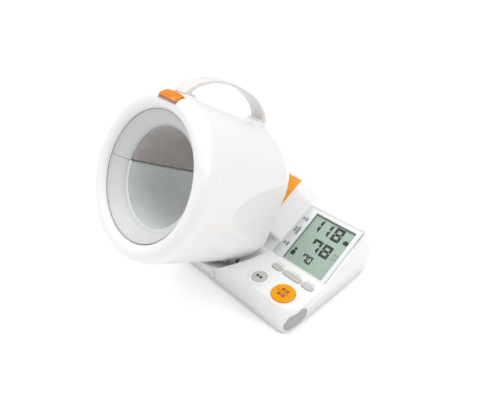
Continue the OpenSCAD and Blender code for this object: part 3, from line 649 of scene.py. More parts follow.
@dataclass
class ArmBarrel:
    """The tilting barrel: mouth ring, shell, flat side, rear ring, funnel, sleeve, handle and release button."""

    mouth_r: float = 64.8
    front_r: float = 83.1
    rear_r: float = 80.8
    length: float = 126.5
    ring_depth: float = 12.2
    ring_bulge: float = 2.5
    lip_back: float = 5.0
    wall: float = 2.4
    rear_edge: float = 5.9
    rear_open_r: float = 60.0
    flat_rear: float = 71.7
    flat_rise: float = 0.1321
    cover: float = 2.1
    sleeve_r: float = 50.5
    sleeve_wall: float = 6.6
    sleeve_back: float = 4.0
    sleeve_front: float = 106.4
    handle_base: float = 80.0
    handle_mid: float = 57.5
    handle_a: float = 62.0
    handle_rise: float = 30.5
    strap_t: float = 3.2
    foot_t: float = 8.0
    plate_t: float = 2.4
    seat_top: float = 84.5
    amber_w: float = 28.0
    amber_low: float = 75.5
    amber_back: float = 120.5
    amber_proud: float = 2.8
    amber_travel: float = 2.0
    pose: Pose = field(default_factory=lambda: LAYOUT.barrel)

    def skin_r(self, z: np.ndarray) -> np.ndarray:
        """Outer radius at a height: a slight cone, with the rear edge rounded as a quarter circle."""
        cone = self.rear_r + (self.front_r - self.rear_r) * z / (self.length - self.ring_depth)
        into = np.clip(self.rear_edge - z, 0, self.rear_edge)
        return cone - self.rear_edge + np.sqrt(self.rear_edge ** 2 - into ** 2)

    def flat_x(self, z: np.ndarray) -> np.ndarray:
        """Distance of the flat side from the axis at a height."""
        return self.flat_rear + self.flat_rise * z

    def build(self) -> None:
        """Builds every visible piece of the barrel."""
        self.mouth_ring()
        self.shell()
        self.flat_side()
        self.rear_ring()
        self.funnel()
        self.sleeve()
        self.handle()
        self.release()

    def ring_section(self, grow: float, count: int = 26) -> np.ndarray:
        """Half section of the mouth ring: a tall quarter ellipse outside and a short one into the opening."""
        middle, half = (self.front_r + self.mouth_r) / 2, (self.front_r - self.mouth_r) / 2 + grow
        outside, inside = (
            arc((middle, self.length - deep), half, deep + self.ring_bulge + grow, start, start + 90, count)
            for deep, start in ((self.ring_depth, 0), (self.lip_back, 90)))
        return np.vstack([outside, inside[1:]])

    def mouth_ring(self) -> None:
        """The glossy lip round the opening, sunk under the release button as deep as its skirt and travel ask.

        The columns of its grid run straight beside the button and radially elsewhere, so the pocket has clean sides.
        The travel is straight down, so it asks for the more depth, the more the lip's surface faces up.
        """
        half, beside, straight = self.amber_w / 2, 0.1, 20
        skirt, slant, floor = 1.4, math.radians(20.0), 0.4
        profile = np.vstack([self.ring_section(0), self.ring_section(-self.wall)[::-1]])
        near = np.concatenate([np.linspace(0, half, 8)[1:], [half + beside], np.linspace(half + 1.5, straight, 4)])
        across = np.concatenate([near[::-1], [0.0], -near])[:, None]
        turn = np.radians(np.linspace(109.5, 430.5, 208))[:, None]
        r, z = profile.T
        x = np.concatenate([across + 0 * r, r * np.cos(turn)])
        y = np.concatenate([np.sqrt(r ** 2 - across ** 2), r * np.sin(turn)])
        z = z + 0 * x
        middle, rear = (self.front_r + self.mouth_r) / 2, self.length - self.ring_depth
        lean = np.arctan2((z - rear) / (self.ring_depth + self.ring_bulge), (r - middle) / (self.front_r - middle))
        depth = skirt + self.amber_travel * np.clip(np.cos(lean - slant), 0, 1)
        outer_face = np.arange(len(profile)) < len(profile) // 2
        back = self.amber_back - np.where(outer_face, 0.1, 1.3)
        pocket = (np.abs(x) < half + beside / 2) & (y > self.amber_low - self.amber_travel - floor) & (z > back)
        sunk = np.where(pocket, depth, 0.0)
        radius = np.hypot(x, y)
        shrink = 1 - sunk * np.cos(lean) / radius
        points = np.stack([x, np.where(pocket, y * shrink, y), z - sunk * np.sin(lean)], -1)
        skin = surface(self.pose.out(points), wrap_rows=True, wrap_columns=True)
        piece("mouth_lip", [skin], [GLOSS_WHITE], "barrel", ["mouth_ring"])

    def shell(self) -> None:
        """The long moulding behind the lip, flattened on one side just under the flat cover."""
        front = self.length - self.ring_depth
        rear = self.rear_edge
        z = np.concatenate([[rear + 0.1], np.linspace(rear + 0.35, front - 0.35, 40), [front - 0.1]])
        outer = np.stack([self.skin_r(z), z], -1)
        outer[[0, -1], 0] -= 0.25
        inner = np.stack([self.skin_r(z[::-1]) - self.wall, z[::-1]], -1)
        skin = revolved(np.vstack([outer, inner]), self.pose, 240, lambda h: self.flat_x(h) - 0.3)
        piece("barrel_moulding", [skin], [GLOSS_WHITE], "barrel", ["barrel_shell"])

    def flat_side(self) -> None:
        """The flat cover towards the console: the slice between two planes, cut off by the barrel's round skin."""
        end = (self.rear_r - self.flat_rear + self.cover) / (self.flat_rise - (self.front_r - self.rear_r) / 114.3)
        z = 0.15 + (end - 0.3) * np.linspace(0, 1, 90) ** 0.92
        u = np.linspace(-1, 1, 61)
        bottom = self.flat_x(z) - self.cover
        reach = np.arccos(np.clip(bottom / self.skin_r(z), -1, 1))
        edge = np.arccos(np.clip(self.flat_x(z) / self.skin_r(z), -1, 1))[:, None]
        rest = (reach[:, None] - edge) * (np.abs(u) - 0.8) / 0.2
        t = np.where(np.abs(u) <= 0.8, edge * u / 0.8, np.sign(u) * (edge + rest))
        top = np.minimum(self.skin_r(z)[:, None] + 0.06, self.flat_x(z)[:, None] / np.cos(t))
        low = bottom[:, None] / np.cos(t)
        top = np.maximum(top, low)
        height = np.broadcast_to(z[:, None], t.shape)
        rows = [np.stack([r * np.cos(t), r * np.sin(t), height], -1) for r in (top, low)]
        skin = [surface(self.pose.out(r)) for r in rows]
        rear = surface(self.pose.out(np.stack([rows[0][0], rows[1][0]])))
        tilt = math.atan(self.flat_rise)
        outward = np.array([math.cos(tilt), 0.0, -math.sin(tilt)]) @ self.pose.turn
        middle = self.pose.out(np.array([self.flat_rear, 0.0, 0.0]))
        face = Panel("F5F5F4", ((tuple(outward), float(outward @ middle - 0.12) * MM),))
        finish = replace(GLOSS_WHITE, name="white ABS with a satin flat", panel=face)
        piece("flat_side_cover", skin + [rear], [finish], "barrel", ["side_cover"], crease=7)

    def rear_ring(self) -> None:
        """The rear frame: a rounded rim, a collar round the arm's way out and the two hinge ears."""
        edge, wall = self.rear_edge, self.wall
        middle = (self.rear_r - edge, edge)
        profile = np.vstack([
            [[self.rear_open_r, 0.8], [self.rear_open_r + 0.25, 0.25], [self.rear_open_r + 0.8, 0]],
            arc(middle, edge, edge, -90, 0, 12), [[self.rear_r - 0.3, edge + 0.05]],
            arc(middle, edge - wall, edge - wall, 0, -90, 10),
            [[self.rear_open_r + wall, wall], [self.rear_open_r + wall, 7], [self.rear_open_r, 7]]])
        skin = revolved(profile, self.pose, 240, lambda h: self.flat_x(h) - 0.3)
        points = self.pose.back(skin.verts)
        slot = (np.abs(points[:, 0]) < 5.2) & (points[:, 1] < -60.9) & (points[:, 2] < 3)
        points[:, 2] = np.where(slot, 3.2, points[:, 2])
        skin = Patch(self.pose.out(points), skin.faces)
        ears = [p for side in (-1, 1) for p in self.hinge_ear(side)]
        piece("rear_frame", [skin] + ears, [GLOSS_WHITE], "barrel", ["rear_ring"])

    def hinge_ear(self, side: int) -> list[Patch]:
        """One hinge ear: a plate with a round foot about the pin, carried along the pin's axis.

        Args:
            side: -1 for the left ear, 1 for the right one.

        Returns:
            The ear's closed skin.
        """
        ear_r, pin_r, near, far = 8.2, 6.0, 22.0, 33.0
        t = full_turn(96)
        down, back = -LAYOUT.hinge_drop, -LAYOUT.hinge_back
        sideways, upwards = np.maximum(np.abs(np.cos(t)), 1e-6), np.maximum(np.sin(t), 1e-6)
        reach = np.minimum(ear_r / sideways, (LAYOUT.hinge_back + 1.5) / upwards)
        r = np.where(np.sin(t) > 0, np.maximum(np.minimum(reach, 14), ear_r), ear_r)
        outer = np.stack([down + r * np.cos(t), back + r * np.sin(t)], -1)
        inner = np.stack([down + pin_r * np.cos(t), back + pin_r * np.sin(t)], -1)
        soft = np.array([down, back]) + (outer - [down, back]) * 0.96
        rings = [np.column_stack([np.full(96, x * side), loop]) for x, loop in (
            (near, inner), (near, soft), (near + 0.4, outer), (far - 0.4, outer), (far, soft), (far, inner))]
        return [surface(self.pose.out(np.stack(rings)), wrap_rows=True, wrap_columns=True)]

    def funnel(self) -> None:
        """The grey funnel from the lip to the sleeve, split level with the axis, and a dark ring in the gap round the
        opening, which is painted shadow under the lip.
        """
        z0 = self.length - self.lip_back
        s = np.linspace(0, 1, 24)
        throat = self.sleeve_r + 1.2
        depth = z0 + 0.9 - (self.sleeve_front + 0.6)
        inner = np.stack([self.mouth_r - 0.3 - (self.mouth_r - 0.3 - throat) * (0.5 - 0.5 * np.cos(np.pi * s ** 0.9)),
                          z0 + 0.9 - depth * s], -1)
        back = np.array([[throat + 0.2, self.sleeve_front + 0.2], [throat + 2, self.sleeve_front + 0.2],
                         [self.mouth_r + 0.9, z0 - 4], [self.mouth_r + 0.9, z0 - 0.2], [self.mouth_r - 0.1, z0 - 0.2]])
        skin = revolved(np.vstack([inner, back]), self.pose, 200)
        # The dark ring is painted shadow under the lip. It is shifted up and left so that the lip hides it at the lower
        # right.
        loop = arc((self.mouth_r - 0.25, z0 + 1.1), 0.3, 0.3, 0, 330, 12)
        shifted = self.pose.out(np.array([-0.35, 0.2, 0.0]))
        gap = revolved(loop, replace(self.pose, origin=tuple(shifted)), 160, material=1)
        lines = [self.split_line(inner[1:-1], side) for side in (-1, 1)]
        piece("entry_cone", [skin, gap] + lines, [FUNNEL, JOINT_AND_GAP_SHADE], "barrel", ["entry_funnel"])

    def split_line(self, path: np.ndarray, side: int) -> Patch:
        """The split between the funnel's halves: a flat ribbon 0.5 mm high laid on its surface at one side.

        Args:
            path: Radius and height along the funnel.
            side: -1 for the left side, 1 for the right one.

        Returns:
            The ribbon.
        """
        height = np.array([-0.28, 0.28])
        r, z = path[:, 0] - 0.06, path[:, 1]
        points = np.stack([side * np.broadcast_to(r[:, None], (len(r), 2)), np.broadcast_to(height, (len(r), 2)),
                           np.broadcast_to(z[:, None], (len(r), 2))], -1)
        return surface(self.pose.out(points), material=1)

    def sleeve(self) -> None:
        """The padded lining in two halves: knit darkened with painted shade above, and knit lightened with painted
        light below, with a moulded front rim.
        """
        # The upper half's darker knit is painted shade. The lower half's lighter knit is painted light.
        for name, node_name, start, finish, slot in (
                ("sleeve_upper", "cuff_upper", 0.6, PAINTED_SHADE_KNIT, "fabric_upper"),
                ("sleeve_lower", "cuff_lower", 180.6, PAINTED_LIGHT_KNIT, "fabric_lower")):
            patches = self.half_sleeve(start, name == "sleeve_upper")
            made = piece(name, patches, [finish, PIPING], "barrel", [node_name])

    def half_sleeve(self, start: float, upper: bool) -> list[Patch]:
        """Half of the lining: a quilted half tube whose section is a rounded slab.

        The inner face is the radius plus slow waves along the arm and round it, which fade out at the borders.

        Args:
            start: Angle of its first edge, in degrees.
            upper: Whether this is the upper half.

        Returns:
            The half's closed skin, and the lower one's rim.
        """
        turn = np.radians(np.linspace(start, start + 178.8, 120))[:, None]
        long = self.sleeve_front - self.sleeve_back
        edge = 3.0
        inside = np.linspace(0, 1, 60)
        z_in = self.sleeve_front - edge - (long - 2 * edge) * inside
        front = arc((self.sleeve_r + edge, self.sleeve_front - edge), edge, edge, 90, 180, 9)
        back = arc((self.sleeve_r + edge, self.sleeve_back + edge), edge, edge, 180, 270, 9)
        face = np.stack([np.full(60, self.sleeve_r), z_in], -1)
        outer = np.array([[self.sleeve_r + self.sleeve_wall, z] for z in (self.sleeve_back, self.sleeve_front)])
        profile = np.vstack([front, face[1:-1], back, outer])
        r, z = profile[:, 0][None, :], profile[:, 1][None, :]
        share = np.linspace(0, 1, 120)[:, None]
        fade = np.sin(np.pi * share) ** 0.5 * np.clip((self.sleeve_front - z) / 18, 0, 1)
        on_face = r < self.sleeve_r + 1
        wave = 0.45 * np.sin(z / 9.0 + 2 * np.sin(2 * turn)) + 0.35 * np.cos(5 * turn + z / 30)
        side = np.minimum(share, 1 - share) * np.pi * self.sleeve_r
        roll = 1.6 * (1 - np.sqrt(np.clip(1 - (1 - np.clip(side / 1.6, 0, 1)) ** 2, 0, 1)))
        r = r + np.where(on_face, fade * wave + roll, 0)
        points = np.stack([r * np.cos(turn), r * np.sin(turn), z + 0 * turn], -1)
        along = np.cumsum(np.hypot(*np.diff(profile, axis=0, prepend=profile[:1]).T))
        laid = np.stack([turn * self.sleeve_r + 0 * z, along[None, :] + 0 * turn], -1)
        placed = self.pose.out(points)
        patches = [surface(placed, wrap_columns=True, uv=laid), fan(placed[0]), fan(placed[-1])]
        if not upper:
            bead = arc((self.sleeve_r + 0.9, self.sleeve_front + 0.1), 1.7, 1.5, 0, 345, 16)
            t = np.radians(np.linspace(start - 0.4, start + 179.6, 120))[:, None]
            rim = np.stack([bead[:, 0] * np.cos(t), bead[:, 0] * np.sin(t), bead[:, 1] + 0 * t], -1)
            patches += [surface(self.pose.out(rim), wrap_columns=True, material=1),
                        fan(self.pose.out(rim[0]), 1), fan(self.pose.out(rim[-1]), 1)]
        return patches

    def handle(self) -> None:
        """The carrying strap, an arch that widens to the rear, on its two feet."""
        rise_in, reach_in = self.handle_rise - self.strap_t, self.handle_a - self.foot_t
        seat = self.seat_top + 0.02 - self.handle_base
        start, start_in = math.asin(seat / self.handle_rise), math.asin(seat / rise_in)
        s = np.linspace(0, 1, 90)
        t_out, t_in = start + (np.pi - 2 * start) * s, start_in + (np.pi - 2 * start_in) * s
        outer = np.stack([self.handle_rise * np.sin(t_out), self.handle_a * np.cos(t_out)], -1)
        inner = np.stack([rise_in * np.sin(t_in), reach_in * np.cos(t_in)], -1)
        middle, half = (outer + inner) / 2, (outer - inner) / 2
        width = 8.6 + 1.7 * s
        phi = full_turn(48)
        bulge = np.sign(np.sin(phi)) * np.abs(np.sin(phi)) ** 0.55
        side = np.sign(np.cos(phi)) * np.abs(np.cos(phi)) ** 0.35
        across = width[:, None] * side[None, :]
        lift = middle[:, None, :] + half[:, None, :] * bulge[None, :, None] * 0.98
        rings = np.stack([across, self.handle_base + lift[..., 0], self.handle_mid + lift[..., 1]], -1)
        plates = self.foot_plate(103.2, 114.0, 8.4) + self.foot_plate(1.5, 10.4, 10.2)
        piece("handle_band", tube(self.pose.out(rings)) + plates, [STRAP], "barrel", ["handle_strap"])
        for name, node_name, low, high in (("handle_foot_front", "handle_front_seat", 101.2, 119.3),
                                           ("handle_foot_rear", "handle_rear_seat", -4.3, 12.3)):
            self.handle_foot(name, node_name, low, high)

    def foot_plate(self, low: float, high: float, half: float) -> list[Patch]:
        """A plate at the strap's foot, over the screws: rounded outlines at its bottom, shoulder and top.

        Args:
            low: Its rear end along the barrel.
            high: Its front end along the barrel.
            half: Half its width.

        Returns:
            The plate's closed skin.
        """
        levels = ((0.02, 0.0), (self.plate_t - 1.0, 0.0), (self.plate_t - 0.3, 0.3), (self.plate_t, 1.0))
        rings = stacked([rounded_loop(half - i, (high - low) / 2 - i, 4.5, 48) for _, i in levels],
                        [self.seat_top + h for h, _ in levels])
        return tube(self.pose.out(np.stack([rings[..., 0], rings[..., 2], rings[..., 1] + (low + high) / 2], -1)))

    def handle_foot(self, name: str, node_name: str, low: float, high: float) -> None:
        """A foot of the handle: rounded outlines that draw in towards the top.

        Args:
            name: The piece's name.
            node_name: The node that it replaces.
            low: Its rear end along the barrel.
            high: Its front end along the barrel.
        """
        base, top = 66.2 if low < 0 else self.seat_top - 6.0, self.seat_top
        levels = np.array([base, base + 0.5, top - 3.4, top - 1.4, top - 0.45, top - 0.05])
        inset = np.array([0.6, 0.0, 0.0, 0.35, 1.1, 2.2])
        loops = [rounded_loop(12.9 - i, (high - low) / 2 - i, 4.5, 64) for i in inset]
        rings = stacked(loops, levels)
        rings = np.stack([rings[..., 0], rings[..., 2], rings[..., 1] + (low + high) / 2], -1)
        piece(name, tube(self.pose.out(rings)), [GLOSS_WHITE], "barrel", [node_name])

    def release(self) -> None:
        """The amber release button: the lip's own section grown outwards, with its borders rolled in."""
        rows, columns = 44, 44
        u = np.linspace(-1, 1, rows)[:, None]
        v = np.linspace(0, 1, columns)[None, :]
        edge = np.clip(1 - np.abs(u) ** 7, 0, 1) ** 0.4 * np.clip(1 - np.abs(2 * v - 1) ** 9, 0, 1) ** 0.4
        x = u * (self.amber_w / 2 - 0.05) + 0 * v
        front, rear = 27.0, 100.0
        t = np.radians(front + (rear - front) * v) + 0 * u

        def shell(grow: np.ndarray) -> np.ndarray:
            """Points of the lip's outer section grown by an amount, at the grid's angles and x."""
            middle, half = (self.front_r + self.mouth_r) / 2, (self.front_r - self.mouth_r) / 2
            rear = self.length - self.ring_depth
            r = middle + (half + grow) * np.cos(t)
            z = np.maximum(rear + (self.ring_depth + self.ring_bulge + grow) * np.sin(t), self.amber_back + 0.05)
            y = np.sqrt(r * r - x * x)
            return self.pose.out(np.stack([x, np.maximum(y, self.amber_low + 0.05), z], -1))

        top = shell(-0.6 + (self.amber_proud + 0.55) * edge)
        low = shell(-1.0 + 0 * edge)
        piece("release_cap", [surface(top), surface(low)] + rims(top, low), [AMBER], "release_button",
              ["release_button"], crease=60)


# ---------------------------------------------------------------- base and console


@dataclass
class Housing:
    """The low base and the sloped console: the shells that stand still."""

    seam_x: float = -44.1
    base_front: float = -33.7
    base_rear: float = 187.0
    barrel_x: float = -78.1
    tray_top: float = 6.0
    deck_z: float = 8.0
    rim_z: float = 22.0
    console_rim: float = 38.0
    ridge_z: float = 84.0
    clearance_r: float = 84.6
    clearance_back: float = 2.4
    arm_r: float = 56.5
    elbow_y: float = 120.0
    elbow_r: float = 50.0
    shoulder_n: float = 18.6
    shoulder_x: float = -18.0
    shoulder_v: float = 14.0
    trim_v: float = 84.5
    frame_w: float = 71.1
    frame_l: float = 70.1
    start: tuple[float, float, float] = (50.3, -37.2, 12.0)
    stop: tuple[float, float, float] = (17.4, -37.2, 8.0)
    key_v: float = -13.3
    keys: tuple[tuple[float, float], ...] = ((20.3, 13.0), (40.5, 23.0), (60.6, 13.5))
    key_w: float = 7.2
    play: float = 0.25
    oval_at: tuple[float, float, float] = (65.7, -22.2, 21.0)
    oval_a: float = 15.4
    oval_b: float = 6.4
    facet: float = 1.8
    grid: float = 1.15
    case: Pose = field(default_factory=lambda: LAYOUT.case)
    display: Pose = field(default_factory=lambda: LAYOUT.display)
    buttons: Pose = field(default_factory=lambda: LAYOUT.buttons)

    def __post_init__(self) -> None:
        """Sets the outline circles: centre x, centre y and radius, at the table and at the rims."""
        front, left, seam = self.base_front, self.barrel_x - 50, self.seam_x + 3.2
        top = front - 5.3
        self.foot_right = ((51, front + 12.2, 12.2), (24, 45, 40), (18, 95, 45))
        self.foot_left = ((left, front + 20, 20), (self.barrel_x, self.base_rear - 62, 62))
        self.rim_right = ((56.5, top + 17, 17), (34.5, 45, 40), (28, 85, 46))
        self.rim_left = ((left, front + 18, 20), (self.barrel_x, self.base_rear - 60, 62))
        self.foot_console = self.foot_right + ((seam, front + 3, 3), (seam, 130, 3))
        self.rim_console = self.rim_right + ((seam, top + 5, 3), (seam, 125, 3))
        self.ridge_console = ((54, 65, 17.5), (-4, 80.5, 3), (68.3, 14, 6), (56.5, top + 18, 16), (seam, top + 10, 3),
                              (seam, 84, 3))

    def build(self) -> None:
        """Builds the base and the console with everything on it."""
        self.tray()
        self.deck()
        self.elbow_pad()
        self.console()
        self.shoulder_trim()
        self.display_unit()
        self.round_buttons()
        self.flat_keys()
        self.speaker_oval()

    def swept_room(self, p: np.ndarray, grow: float = 0.0) -> np.ndarray:
        """Field of the space that the base leaves free: the tilting barrel, the arm behind it and the elbow.

        Args:
            p: Points in the housing's frame.
            grow: How much larger the space is taken.

        Returns:
            Distance to the space, negative inside it.
        """
        barrel, hinge = LAYOUT.barrel, LAYOUT.hinge
        world = self.case.out(p)
        room = np.full(len(p), 1e6)
        for tilt in np.linspace(*LAYOUT.tilt_range, 5):
            c, s = math.cos(-tilt), math.sin(-tilt)
            rel = world - hinge
            turned = np.stack([rel[:, 0], rel[:, 1] * c - rel[:, 2] * s, rel[:, 1] * s + rel[:, 2] * c], -1) + hinge
            local = barrel.back(turned)
            ring = np.hypot(local[:, 0], local[:, 1]) - self.clearance_r - grow
            room = np.minimum(room, np.maximum(ring, -(local[:, 2] + self.clearance_back + grow)))
        local = barrel.back(world)
        arm = np.maximum(np.hypot(local[:, 0], local[:, 1]) - self.arm_r - grow, local[:, 2] - 20)
        elbow = np.hypot(p[:, 0] - self.barrel_x, p[:, 1] - self.elbow_y) - self.elbow_r - grow
        post = np.maximum(np.abs(p[:, 0] - self.barrel_x) - 45.4 - grow, np.abs(p[:, 1] + 2.8) - 14.5 - grow)
        low = np.minimum(np.minimum(arm, elbow), post)
        return np.minimum(room, round_max(low, self.deck_z - grow - p[:, 2], 1.5))

    def sides(self, p: np.ndarray, levels: Sequence[tuple[float, Sequence[Sequence[float]]]]) -> np.ndarray:
        """Field of a wall that runs through stretched outlines at several heights.

        The distance is the largest, over 96 directions n, of n.p minus the outline's reach along n, and the reach
        changes evenly between the heights.

        Args:
            p: Points in the housing's frame.
            levels: Height and outline circles, from the bottom up.

        Returns:
            Distance to the wall, negative inside.
        """
        t = full_turn(96)
        n = np.stack([np.cos(t), np.sin(t)], -1)
        heights = np.array([h for h, _ in levels])
        reach = np.stack([outline_reach(circles, n) for _, circles in levels])
        far = np.full(len(p), -1e6)
        z = np.clip(p[:, 2], heights[0], heights[-1])
        for k in range(len(t)):
            far = np.maximum(far, p[:, 0] * n[k, 0] + p[:, 1] * n[k, 1] - np.interp(z, heights, reach[:, k]))
        return far

    def tray(self) -> None:
        """The bottom tray: outlines of the base carried up its rounded edge, closed below and above, with a painted
        contact shadow on its lowest 1.9 mm.
        """
        circles = self.foot_right + self.foot_left
        levels = [(1.2, -2.9), (1.25, -2.3), (1.7, -1.2), (2.5, -0.45), (3.7, 0.0), (5.4, 0.35), (5.75, 0.3),
                  (5.9, 0.0)]
        rings = stacked([banded(circles, g) for _, g in levels], [z for z, _ in levels])
        # Painted shadow: the tray is dark grey below 1.9 mm, standing in for the contact shadow between the base and
        # the floor.
        foot = Panel("8B8E8F", (((0.0, 0.0, -1.0), -1.9 * MM),))
        finish = replace(GLOSS_WHITE, name="white ABS with a painted contact shadow at its foot", panel=foot)
        piece("bottom_tray", tube(self.case.out(rings)), [finish], "base", ["base_tray"])

    def deck_field(self, p: np.ndarray) -> np.ndarray:
        """Field of the deck: the base's wall up to its rim, with the barrel's room scooped out."""
        wall = self.sides(p, ((6.0, self.foot_left + self.foot_right), (19.0, self.rim_left + self.foot_right)))
        body = round_max(wall, p[:, 2] - self.rim_z, 3.0)
        body = np.maximum(body, self.tray_top + 0.1 - p[:, 2])
        body = round_max(body, p[:, 0] - self.seam_x + 0.15, 0.4)
        return round_max(body, -self.swept_room(p), 1.0)

    def deck(self) -> None:
        """The deck under the barrel, with its dished rim."""
        skin = moulded(self.deck_field, (-150, -48, 3), (-42, 192, 25), self.grid)
        piece("deck_moulding", [Patch(self.case.out(skin.verts), skin.faces)], [GLOSS_WHITE], "base",
              ["deck_cover"], crease=55)

    def elbow_pad(self) -> None:
        """The dished pad for the elbow: a long round outline whose top sinks to the middle."""
        pad_r, stretch, dish_r = 39.5, 5, 122.0
        t = full_turn(120)
        share = np.concatenate([[1.0, 1.0, 0.995], np.linspace(0.985, 0.02, 26)])[:, None]
        x = share * pad_r * np.cos(t)
        y = share * pad_r * np.sin(t) + stretch * np.sign(np.sin(t)) * np.minimum(1, np.abs(np.sin(t)) * 3) * share
        dish = self.deck_z + 116.5 - np.sqrt(dish_r ** 2 - x ** 2 - y ** 2) + 5.8
        level = np.minimum(np.maximum(dish, self.deck_z + 2.2), self.deck_z + 4.9)
        level[0] = self.deck_z + 0.15
        level[1] = level[1] - 1.0
        rings = np.stack([self.barrel_x + x, self.elbow_y - 1 + y, level], -1)
        piece("elbow_cushion", tube(self.case.out(rings)), [PAD_GREY], "base", ["elbow_pad"])

    def faces_field(self, p: np.ndarray) -> np.ndarray:
        """Field below the button face or the display face, whichever is higher, with a narrow fold between."""
        world = self.case.out(p)
        return round_min(self.buttons.back(world)[:, 2], self.display.back(world)[:, 2], 0.9)

    def shoulder_field(self, p: np.ndarray) -> np.ndarray:
        """Field of the shoulder left of the display: a level top, a leaning wall and a rounded rear rim."""
        at = self.display.back(self.case.out(p))
        x, v, n = at.T
        run = -self.shoulder_x - 0.3
        lean = math.hypot(run, self.shoulder_n)
        wall = ((x + 0.3) * self.shoulder_n + n * run) / lean
        top = n - self.shoulder_n
        body = round_max(top, wall, 2.2)
        body = round_max(body, v - self.trim_v - 6.0, 6.0)
        return round_max(body, self.shoulder_v - v, 3.0)

    def console_field(self, p: np.ndarray) -> np.ndarray:
        """Field of the console: flared walls, two faces, the shoulder, the facet of the oval and the barrel's room."""
        wall = self.sides(p, ((6.0, self.foot_console), (self.console_rim, self.rim_console),
                              (self.ridge_z, self.ridge_console)))
        body = round_max(wall, self.faces_field(p), 4.0)
        shoulder = round_max(wall, self.shoulder_field(p), 5.0)
        body = round_min(body, shoulder, 1.2)
        body = np.maximum(body, self.tray_top + 0.1 - p[:, 2])
        body = round_max(body, self.seam_x + 0.15 - p[:, 0], 0.4)
        x, y, z = self.oval_pose.back(self.case.out(p)).T
        level = z - self.facet
        rim = (np.hypot(x / self.oval_a, y / self.oval_b) - 1.6) * self.oval_b
        body = round_max(body, -np.maximum(rim, -level), 3.0)
        rim = rim + 0.44 * self.oval_b
        body = round_min(body, round_max(rim, np.maximum(level, -z - 12), 0.7), 2.5)
        return round_max(body, -self.swept_room(p), 1.6)

    def pierced_console(self, p: np.ndarray) -> np.ndarray:
        """Field of the console less the wells of its buttons and keys, the display's pocket and the oval's recess."""
        at = self.buttons.back(self.case.out(p))
        x, v, n = at.T
        wells = [np.hypot(x - cx, v - cv) - r - 0.9 for cx, cv, r in (self.start, self.stop)]
        slots = []
        for centre, length in self.keys:
            slide = (length - self.key_w) / 2
            along = x - centre - np.clip(x - centre, -slide, slide)
            slots.append(np.hypot(along, v - self.key_v) - self.key_w / 2 - 0.75)
        hole = np.minimum.reduce(wells + slots)
        hole = np.maximum(hole, -n - 12)
        dx, dv, dn = self.display.back(self.case.out(p)).T
        pocket = np.maximum(np.abs(dx + 0.3 - self.frame_w / 2) - self.frame_w / 2 + 1.2,
                            np.abs(dv - self.frame_l / 2) - self.frame_l / 2 + 1.2)
        pocket = np.maximum(pocket, -dn - 7)
        ox, oy, oz = self.oval_pose.back(self.case.out(p)).T
        oval = np.maximum((np.hypot(ox / self.oval_a, oy / self.oval_b) - 1) * self.oval_b, -oz - 6)
        socket = np.maximum(np.hypot(p[:, 0] - 34, p[:, 2] - 18) - 5.9, 115 - p[:, 1])
        cut = np.minimum(np.minimum(hole, pocket), np.minimum(oval, socket))
        return np.maximum(self.console_field(p), -cut)

    @property
    def oval_pose(self) -> Pose:
        """The oval's frame on the front right corner: z out of the housing, x along the oval."""
        turn, lean, roll = (math.radians(a) for a in (-33.5, 75.5, 133.0))
        out = np.array([math.cos(turn) * math.sin(lean), math.sin(turn) * math.sin(lean), math.cos(lean)])
        flat = np.array([math.cos(turn) * math.cos(lean), math.sin(turn) * math.cos(lean), -math.sin(lean)])
        side = np.cross(out, flat)
        along = flat * math.cos(roll) + side * math.sin(roll)
        return Pose(tuple(self.case.out(np.array(self.oval_at))), tuple(along), tuple(np.cross(out, along)), tuple(out))

    def console(self) -> None:
        """The console's white shell, with the collars of its round buttons and the liners of its key slots."""
        skin = moulded(self.pierced_console, (-46, -42, 3), (78, 142, 106), self.grid)
        patches = [Patch(self.case.out(skin.verts), skin.faces)]
        for (cx, cv, r), wide, rise in ((self.start, 1.5, 1.2), (self.stop, 3.2, 1.7)):
            patches.append(self.collar(cx, cv, r + self.play, wide, rise))
        for centre, length in self.keys:
            patches.append(self.slot_liner(centre, length))
            patches += [self.bar(self.buttons, (centre + step, self.key_v + self.key_w / 2 + 2.4), (1.5, 0.9), 0.08)
                        for step in (-4.2, -1.6, 1.6, 4.2)]
        finish = replace(GLOSS_WHITE, name="gloss white ABS with a grey wall", panel=self.grey_wall)
        piece("console_moulding", patches, [finish, MARK], "base", ["console_shell"], crease=55)

    @property
    def grey_wall(self) -> Panel:
        """The grey area between the barrel and the display: from the shoulder's edge to the frame."""
        face = self.display
        x, v, n = (np.array(axis) for axis in (face.x, face.y, face.z))
        at = np.array(face.origin)
        lower = ((x, self.shoulder_x - 0.9), (v, 0.1), (n, -0.6))
        upper = ((x, -0.2), (v, 71.0), (n, self.shoulder_n - 0.25))
        return Panel("E8E9E9", tuple((tuple(way * axis), way * float(axis @ at + limit) * MM)
                                     for way, limits in ((1, lower), (-1, upper)) for axis, limit in limits))

    def collar(self, cx: float, cv: float, r: float, wide: float, rise: float) -> Patch:
        """A raised ring round a button: a rounded wall turned about the button's axis.

        Args:
            cx: Centre to the right.
            cv: Centre up the button face.
            r: Inner radius.
            wide: Width of the ring.
            rise: Height over the button face.

        Returns:
            The ring.
        """
        crown = arc((r + wide / 2, rise - 0.6), wide / 2, 0.6, 180, 0, 14)
        foot = np.array([[r + wide + 0.5, 0.3], [r + wide + 1.4, -0.02], [r + wide + 1.4, -0.6], [r, -5.0]])
        return revolved(np.vstack([crown, foot]), self.on_face(cx, cv), 96)

    def slot_liner(self, centre: float, length: float) -> Patch:
        """The liner of a key's slot: slot outlines carried down its wall and back up behind it.

        Args:
            centre: Centre of the key to the right.
            length: Length of the key.

        Returns:
            The liner.
        """
        steps = ((0.0, -4.0), (0.0, -0.25), (0.2, 0.02), (1.0, 0.06), (1.3, -0.05), (1.3, -4.0))
        return surface(self.slot_rings(centre, length, [(self.play + g, h) for g, h in steps]), True, True)

